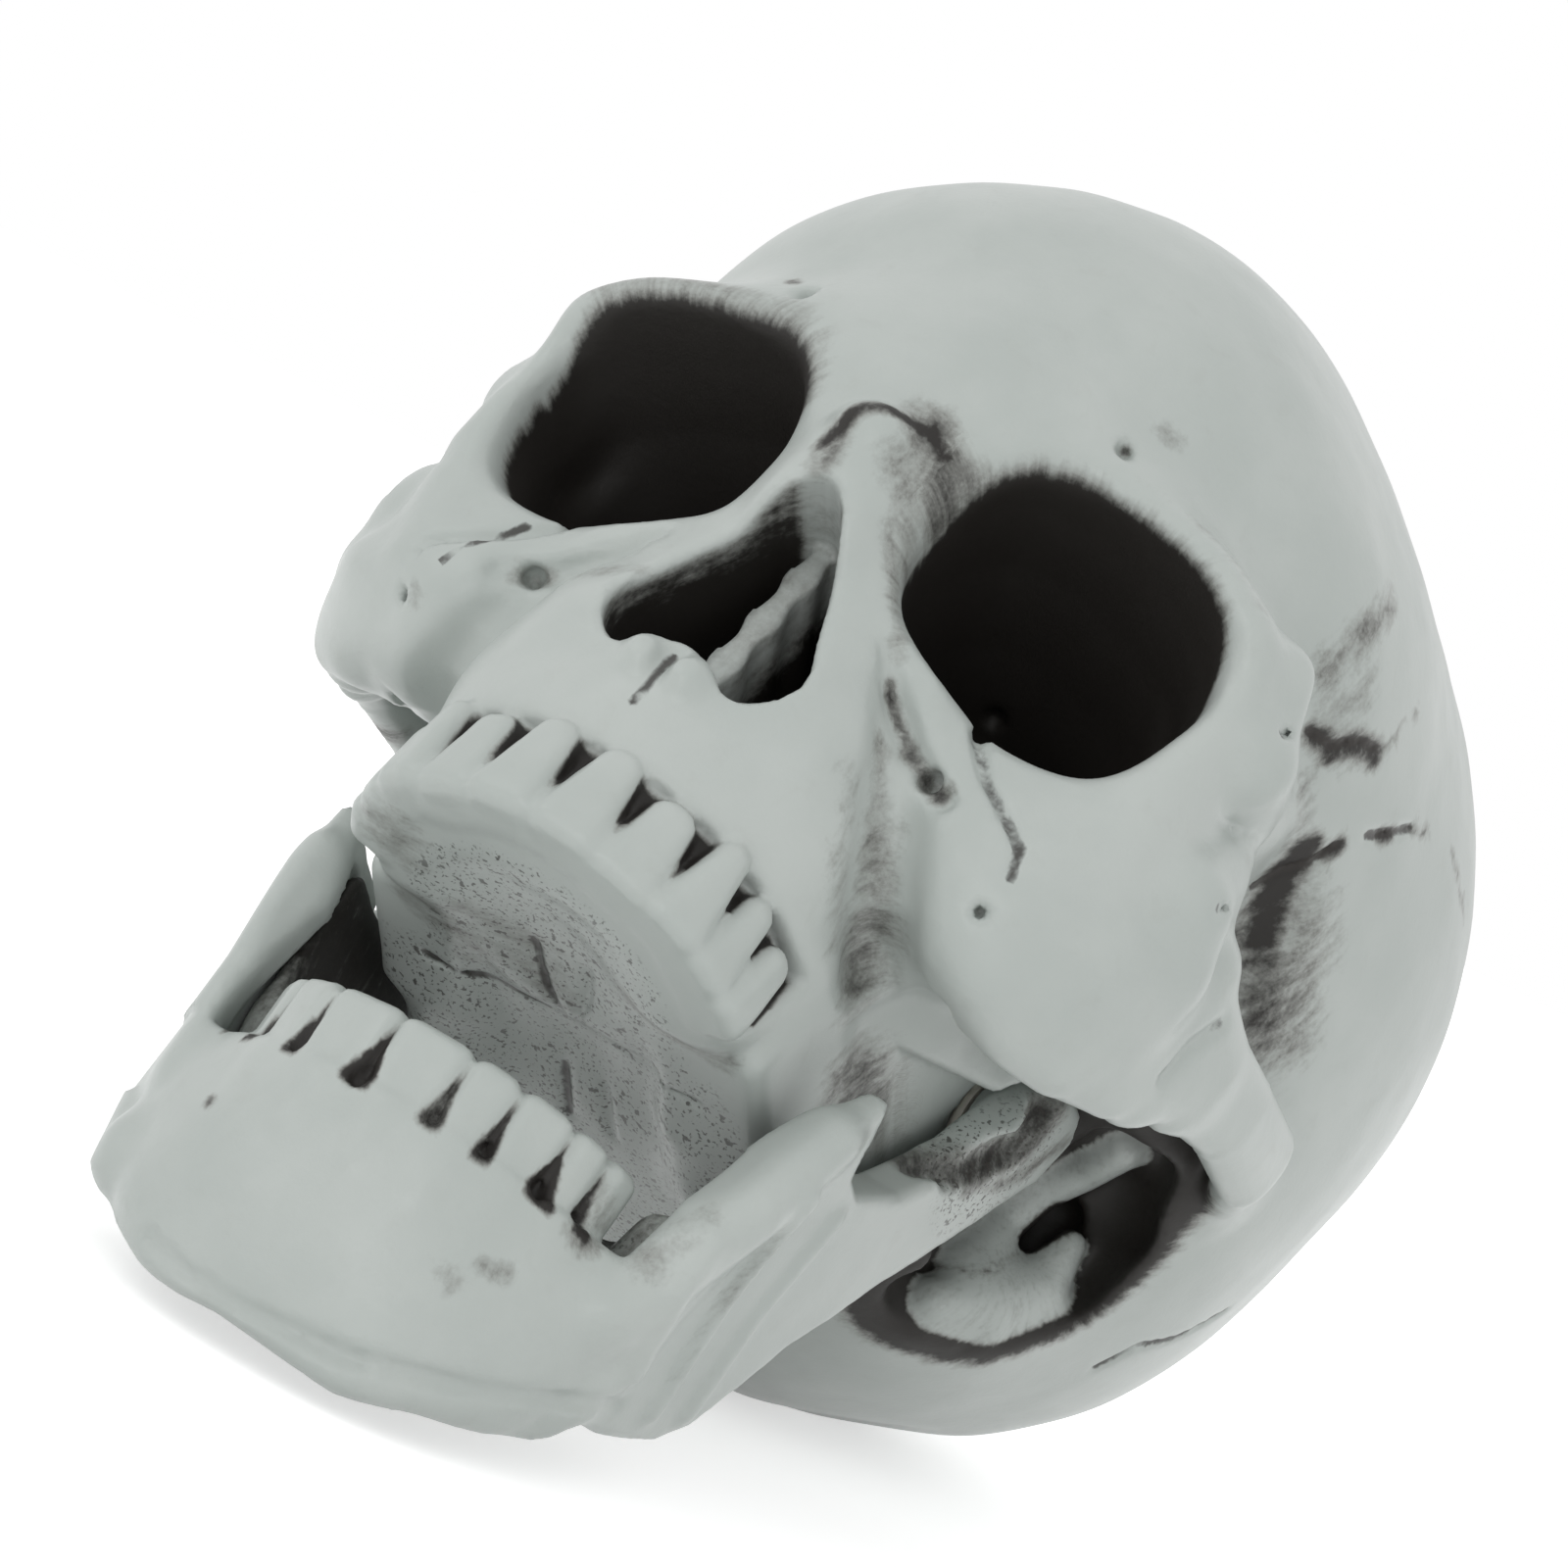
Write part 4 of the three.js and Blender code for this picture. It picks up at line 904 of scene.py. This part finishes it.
def beyond_corner(x, y, z):
    turn, place = open_jaw[:3, :3], open_jaw[:3, 3]
    p = [turn[i, 0] * x + turn[i, 1] * y + turn[i, 2] * z + place[i] - EYE[i] for i in range(3)]
    far = sum(p[i] * PICTURE_IN[i] for i in range(3))
    u = PICTURE / 2 + FOCAL_PIXELS * sum(p[i] * PICTURE_RIGHT[i] for i in range(3)) / far
    v = PICTURE / 2 + FOCAL_PIXELS * sum(p[i] * PICTURE_DOWN[i] for i in range(3)) / far
    return -outline_gap(far_corner, u, v) / PIXELS_PER_MM + 4 * np.clip((x - 8) / 20, 0, 1)


jaw.carve(((-47, -104, -94), (30, -60, -60), beyond_corner), 2.5)
jaw.carve(((-47, -104, -60), (0, -30, 4), beyond_corner), 2.5)

# lower teeth: upright blocks with slots between them, set in the edge of the jaw
LOWER_ARCH = (24.1, 21.4)
GAP_ANGLES = np.radians((-86, -70, -51, -31, -7, 15.5, 31, 49, 63.5, 79))
LOWER_GAPS = [(LOWER_ARCH[0] * math.sin(a), ARCH_MIDDLE - LOWER_ARCH[1] * math.cos(a)) for a in GAP_ANGLES]
LOWER_GUM = -54.8


def over_gum(x, y, z):
    face = arch_gap(x, y, *LOWER_ARCH)
    return np.maximum(np.maximum(np.maximum(-face - 3.6, face - 5), LOWER_GUM - z), y + 69)


jaw.carve(((-40, -104, -58), (40, -69, -40), over_gum), 1.2)
for (xa, ya), (xb, yb) in zip(LOWER_GAPS, LOWER_GAPS[1:]):
    way = np.array((xb - xa, yb - ya))
    wide = np.hypot(*way)
    turn = math.degrees(math.atan2(way[1], way[0]))
    outward = np.array((way[1], -way[0])) / wide
    px, py = np.array((xa + xb, ya + yb)) / 2 - outward * 2.8
    jaw.lay_on(block((px, py, -52), (wide * 0.5 - 0.35, 3.6, 5.6), 1.7, turn, -0.06), 0.4)
    root = np.array(((xa + xb) / 2, (ya + yb) / 2 + 0.8, LOWER_GUM - 2.4))
    jaw.lay_on(rope([root, root + np.array((0, -0.4, -6))], (1.3, 0.8)), 2.5)
pockets = [np.array((x, y, LOWER_GUM - 0.2)) for x, y in LOWER_GAPS]
POCKET_SIZES = (0.5, 0.5, 0.6, 0.7, 1.1, 0.7, 0.6, 1.0, 0.7, 0.5)
for spot, wide in zip(pockets, POCKET_SIZES):
    jaw.carve(lump(spot, (wide, wide, wide * 1.6)), 1)

# bosses with the holes of the hinge pins, on the inner side of each condyle
BOSS_MIDDLE = 34.4


def hinge_disc(side, radius, half_length):
    """Round disc about the hinge line on one side of the head."""

    def distance(x, y, z):
        out = np.hypot(y - JAW_HINGE.y, z - JAW_HINGE.z)
        return np.maximum(out - radius, np.abs(x * side - BOSS_MIDDLE) - half_length)

    return distance


for side in (1, -1):
    ends = sorted((31 * side, 38 * side))
    jaw.lay_on(((ends[0], -29, -14), (ends[1], -15, 0), hinge_disc(side, 5.75, 2)), 0.4)
    jaw.carve(((ends[0], -26, -11), (ends[1], -18, -3), hinge_disc(side, 2.65, 3)), 0)

# moulding line along the lower border, ridges where the chewing muscle held and a dished neck
along = np.arange(150, 640, 12)
parting = np.interp(along, (150, 190, 250, 355, 490, 633), (1262, 1298, 1335, 1385, 1420, 1436))
parting = seen_at(jaw, list(zip(along, parting)), jaw_swing)
jaw.carve(rope(parting, 0.7), 1.2)
muscle_ridges = [
    ([(664, 1440), (735, 1330), (824, 1225)], 1.1),
    ([(700, 1440), (770, 1340), (850, 1245)], 0.9),
    ([(645, 1400), (690, 1320), (725, 1268)], 1.2),
]
for line, wide in muscle_ridges:
    jaw.lay_on(rope([p + 0.3 * PICTURE_IN for p in seen_at(jaw, line, jaw_swing)], wide), 2)
trough = seen_at(jaw, [(930, 1192), (985, 1196), (1040, 1172), (1068, 1130)], jaw_swing)
jaw.carve(rope(trough, (1.4, 2.2, 2.4, 1.8)), 1.2)


def under_table(x, y, z):
    p = [jaw_lies[2][i] for i in range(3)]
    return p[0] * x + p[1] * y + p[2] * z + jaw_lies[2][3]


jaw.carve(((-47, -104, -94), (47, -60, -60), under_table), 0)
outer_piece, jaw_at = cast("jaw_outer", jaw, jaw_lies, 150000)

# dark wash and painted shade in the creases, dark wash in a wedge at the foot of each gap between crowns, and
# in the slot above it
jaw_wash = 0.5 * ramp(hollowness(jaw, jaw_at, 3), 0.35, 1.6) * ramp(reach(jaw_at, parting), 2.5, 5)
STAIN_WIDTHS = (0.9, 0.9, 1.1, 1.3, 2.0, 1.3, 1.1, 1.9, 1.3, 0.9)
STAIN_STRENGTHS = (6, 6, 7, 8, 10, 7, 8, 10, 8, 6)
x, y, z = jaw_at.T
for spot, wide, dark in zip(pockets, STAIN_WIDTHS, STAIN_STRENGTHS):
    out = np.array((spot[0] / LOWER_ARCH[0] ** 2, (spot[1] - ARCH_MIDDLE) / LOWER_ARCH[1] ** 2))
    out = out / np.hypot(*out)
    aside = np.abs((y - spot[1]) * out[0] - (x - spot[0]) * out[1])
    deep = np.abs((x - spot[0]) * out[0] + (y - spot[1]) * out[1])
    spread = 0.45 + wide * np.clip((-50.5 - z) / 4.5, 0, 1)
    height = ramp(z, LOWER_GUM - 2.4, LOWER_GUM - 1.2) * ramp(z, -46.8, -51)
    jaw_wash = np.maximum(jaw_wash, 0.11 * dark * ramp(aside / spread, 1.2, 0.5) * height * ramp(deep, 4, 3))
SLOT_STRENGTHS = (0.6, 0.7, 0.8, 0.9, 1.2, 0.9, 0.8, 1.2, 1.0, 0.7)
in_slot = arch_gap(x, y, *LOWER_ARCH)
slot_wash = ramp(in_slot, -0.1, -1.2) * ramp(in_slot, -5.4, -4.6) * ramp(z, LOWER_GUM - 1.5, LOWER_GUM)
slot_dark = np.zeros(len(jaw_at))
for (slot_x, slot_y), dark in zip(LOWER_GAPS, SLOT_STRENGTHS):
    slot_dark = np.maximum(slot_dark, dark * ramp(np.hypot(x - slot_x, y - slot_y), 3.2, 1.6))
jaw_wash = np.maximum(jaw_wash, slot_wash * slot_dark * ramp(z, -46.5, -50) * (y < -69))
jaw_strokes = [
    ([(445, 1285), (460, 1310)], 2.0, 0.26),
    ([(497, 1293), (515, 1297)], 1.7, 0.5),
    ([(590, 1262), (600, 1268)], 2.2, 0.5),
    ([(690, 1400), (740, 1325), (800, 1255)], 2, 0.26),
    ([(925, 1190), (985, 1194), (1040, 1172), (1068, 1130)], 3.4, 0.7),
    ([(985, 1212), (1040, 1200), (1085, 1165)], 2.0, 0.5),
    ([(215, 1125)], 1.2, 0.7),
    ([(610, 1235), (640, 1262), (665, 1285)], 3.4, 0.36),
    ([(690, 1260), (720, 1245)], 3, 0.3),
]
for pixels, wide, strength in jaw_strokes:
    line = seen_at(jaw, pixels, jaw_swing)
    jaw_wash = np.maximum(jaw_wash, strength * ramp(reach(jaw_at, line), wide * 1.6, 0.1 * wide))
neck = seen_at(jaw, [(985, 1194), (1040, 1172)], jaw_swing)
jaw_specks = ramp(reach(folded(jaw_at), folded(neck)), 12, 4)
give(outer_piece, wash=jaw_wash, crack=np.zeros(len(jaw_at)), specks=jaw_specks, flow=jaw_at * BRUSHED * MM)
outer_piece.data.materials.append(plastic)
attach(outer_piece, "jaw")
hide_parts("jaw_outer_shell")


# The inner shell of the jaw. A thin lining with a rim of the outer shell round it, dark with wash and painted
# shade on the faces that look at each other across the mouth, darkest to the back and the top.
lining = clay_like("jaw_inner_shell")
lining.skin = blurred(lining.skin, 1)
inner_piece, inner_at = cast("jaw_inner", lining, jaw_lies, 60000)
# painted shade with dark wash on the inner faces, growing to the back and to the top
inner_wash = 0.9 * ramp(inner_at[:, 1], -78, -66) * ramp(inner_at[:, 2], -68, -52)
give(inner_piece, wash=inner_wash, crack=np.zeros(len(inner_at)), specks=np.full(len(inner_at), 0.7),
     flow=inner_at * np.array((1, 1, 0.3)) * MM)
inner_piece.data.materials.append(plastic)
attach(inner_piece, "jaw")
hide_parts("jaw_inner_shell")


# The hinges. On each side a drawn steel pin pressed into the jaw's boss turns in a nylon bush in the
# skull, with a nylon washer between them; all are hidden once the jaw is on.
def plain_paint(name, colour, metal, rough, grain_scale):
    paint = bpy.data.materials.new(name)
    paint.use_nodes = True
    nodes, links = paint.node_tree.nodes, paint.node_tree.links
    shader = nodes["Principled BSDF"]
    shader.inputs["Base Color"].default_value = (*colour, 1)
    shader.inputs["Metallic"].default_value = metal
    where = nodes.new("ShaderNodeTexCoord")
    grain = nodes.new("ShaderNodeTexNoise")
    grain.inputs["Scale"].default_value = grain_scale
    grain.inputs["Detail"].default_value = 4
    links.new(where.outputs["Object"], grain.inputs["Vector"])
    level = nodes.new("ShaderNodeMapRange")
    level.inputs["To Min"].default_value = rough - 0.08
    level.inputs["To Max"].default_value = rough + 0.08
    links.new(grain.outputs["Fac"], level.inputs["Value"])
    links.new(level.outputs["Result"], shader.inputs["Roughness"])
    bump = nodes.new("ShaderNodeBump")
    bump.inputs["Strength"].default_value = 0.15
    bump.inputs["Distance"].default_value = 0.0002
    links.new(grain.outputs["Fac"], bump.inputs["Height"])
    links.new(bump.outputs["Normal"], shader.inputs["Normal"])
    return paint


drawn_steel = plain_paint("drawn_steel", (0.36, 0.37, 0.38), 1.0, 0.32, 2500)
nylon = plain_paint("nylon", (0.72, 0.69, 0.61), 0.0, 0.5, 900)
for side in ("left", "right"):
    for piece, paint in (("pin", drawn_steel), ("bush", nylon), ("washer", nylon)):
        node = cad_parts[f"hinge_{piece}_{side}"]
        node.data.materials.clear()
        node.data.materials.append(paint)


# The stage. A plain pale floor and soft light. Floor and backdrop are white to the camera, also where a
# piece mirrors them or lets them through, and the floor keeps the skull's shadow.
def seen_rays(nodes, links):
    """Gives 1 for what the camera sees straight, mirrored or through something clear, and 0 for the rest."""
    ray = nodes.new("ShaderNodeLightPath")
    seen = ray.outputs["Is Camera Ray"]
    for kind in ("Is Glossy Ray", "Is Transmission Ray"):
        either = nodes.new("ShaderNodeMath")
        either.operation = "MAXIMUM"
        links.new(seen, either.inputs[0])
        links.new(ray.outputs[kind], either.inputs[1])
        seen = either.outputs[0]
    return seen


bpy.ops.object.select_all(action="DESELECT")
bpy.ops.mesh.primitive_plane_add(size=8)
floor = bpy.context.object
floor.name = "floor"
floor_paint = bpy.data.materials.new("white_floor")
floor_paint.use_nodes = True
nodes, links = floor_paint.node_tree.nodes, floor_paint.node_tree.links
nodes.clear()
out = nodes.new("ShaderNodeOutputMaterial")
matt = nodes.new("ShaderNodeBsdfDiffuse")
matt.inputs["Color"].default_value = (0.9, 0.9, 0.9, 1)
glow = nodes.new("ShaderNodeEmission")
glow.inputs["Strength"].default_value = 0.55
both = nodes.new("ShaderNodeAddShader")
links.new(matt.outputs[0], both.inputs[0])
links.new(glow.outputs[0], both.inputs[1])
choose = nodes.new("ShaderNodeMixShader")
links.new(seen_rays(nodes, links), choose.inputs[0])
links.new(matt.outputs[0], choose.inputs[1])
links.new(both.outputs[0], choose.inputs[2])
links.new(choose.outputs[0], out.inputs[0])
floor.data.materials.append(floor_paint)

world = bpy.data.worlds.new("studio")
bpy.context.scene.world = world
world.use_nodes = True
nodes, links = world.node_tree.nodes, world.node_tree.links
sky = nodes["Background"]
sky.inputs["Color"].default_value = (1, 1, 1, 1)
level = nodes.new("ShaderNodeMapRange")
links.new(seen_rays(nodes, links), level.inputs["Value"])
level.inputs["To Min"].default_value = 0.86
level.inputs["To Max"].default_value = 1.0
links.new(level.outputs["Result"], sky.inputs["Strength"])


def softbox(name, spot, size, power):
    lamp = bpy.data.lights.new(name, "AREA")
    lamp.size = size
    lamp.energy = power
    box = bpy.data.objects.new(name, lamp)
    bpy.context.scene.collection.objects.link(box)
    box.location = spot
    box.rotation_euler = (Vector((0, 0, 0.07)) - Vector(spot)).to_track_quat("-Z", "Y").to_euler()


softbox("key", (-0.75, -0.75, 0.75), 0.7, 1.1)
softbox("fill", (0.9, -0.45, 0.12), 0.7, 0.4)
softbox("low", (0.1, -0.95, 0.1), 0.5, 1.1)

bpy.context.scene.view_settings.view_transform = "Standard"
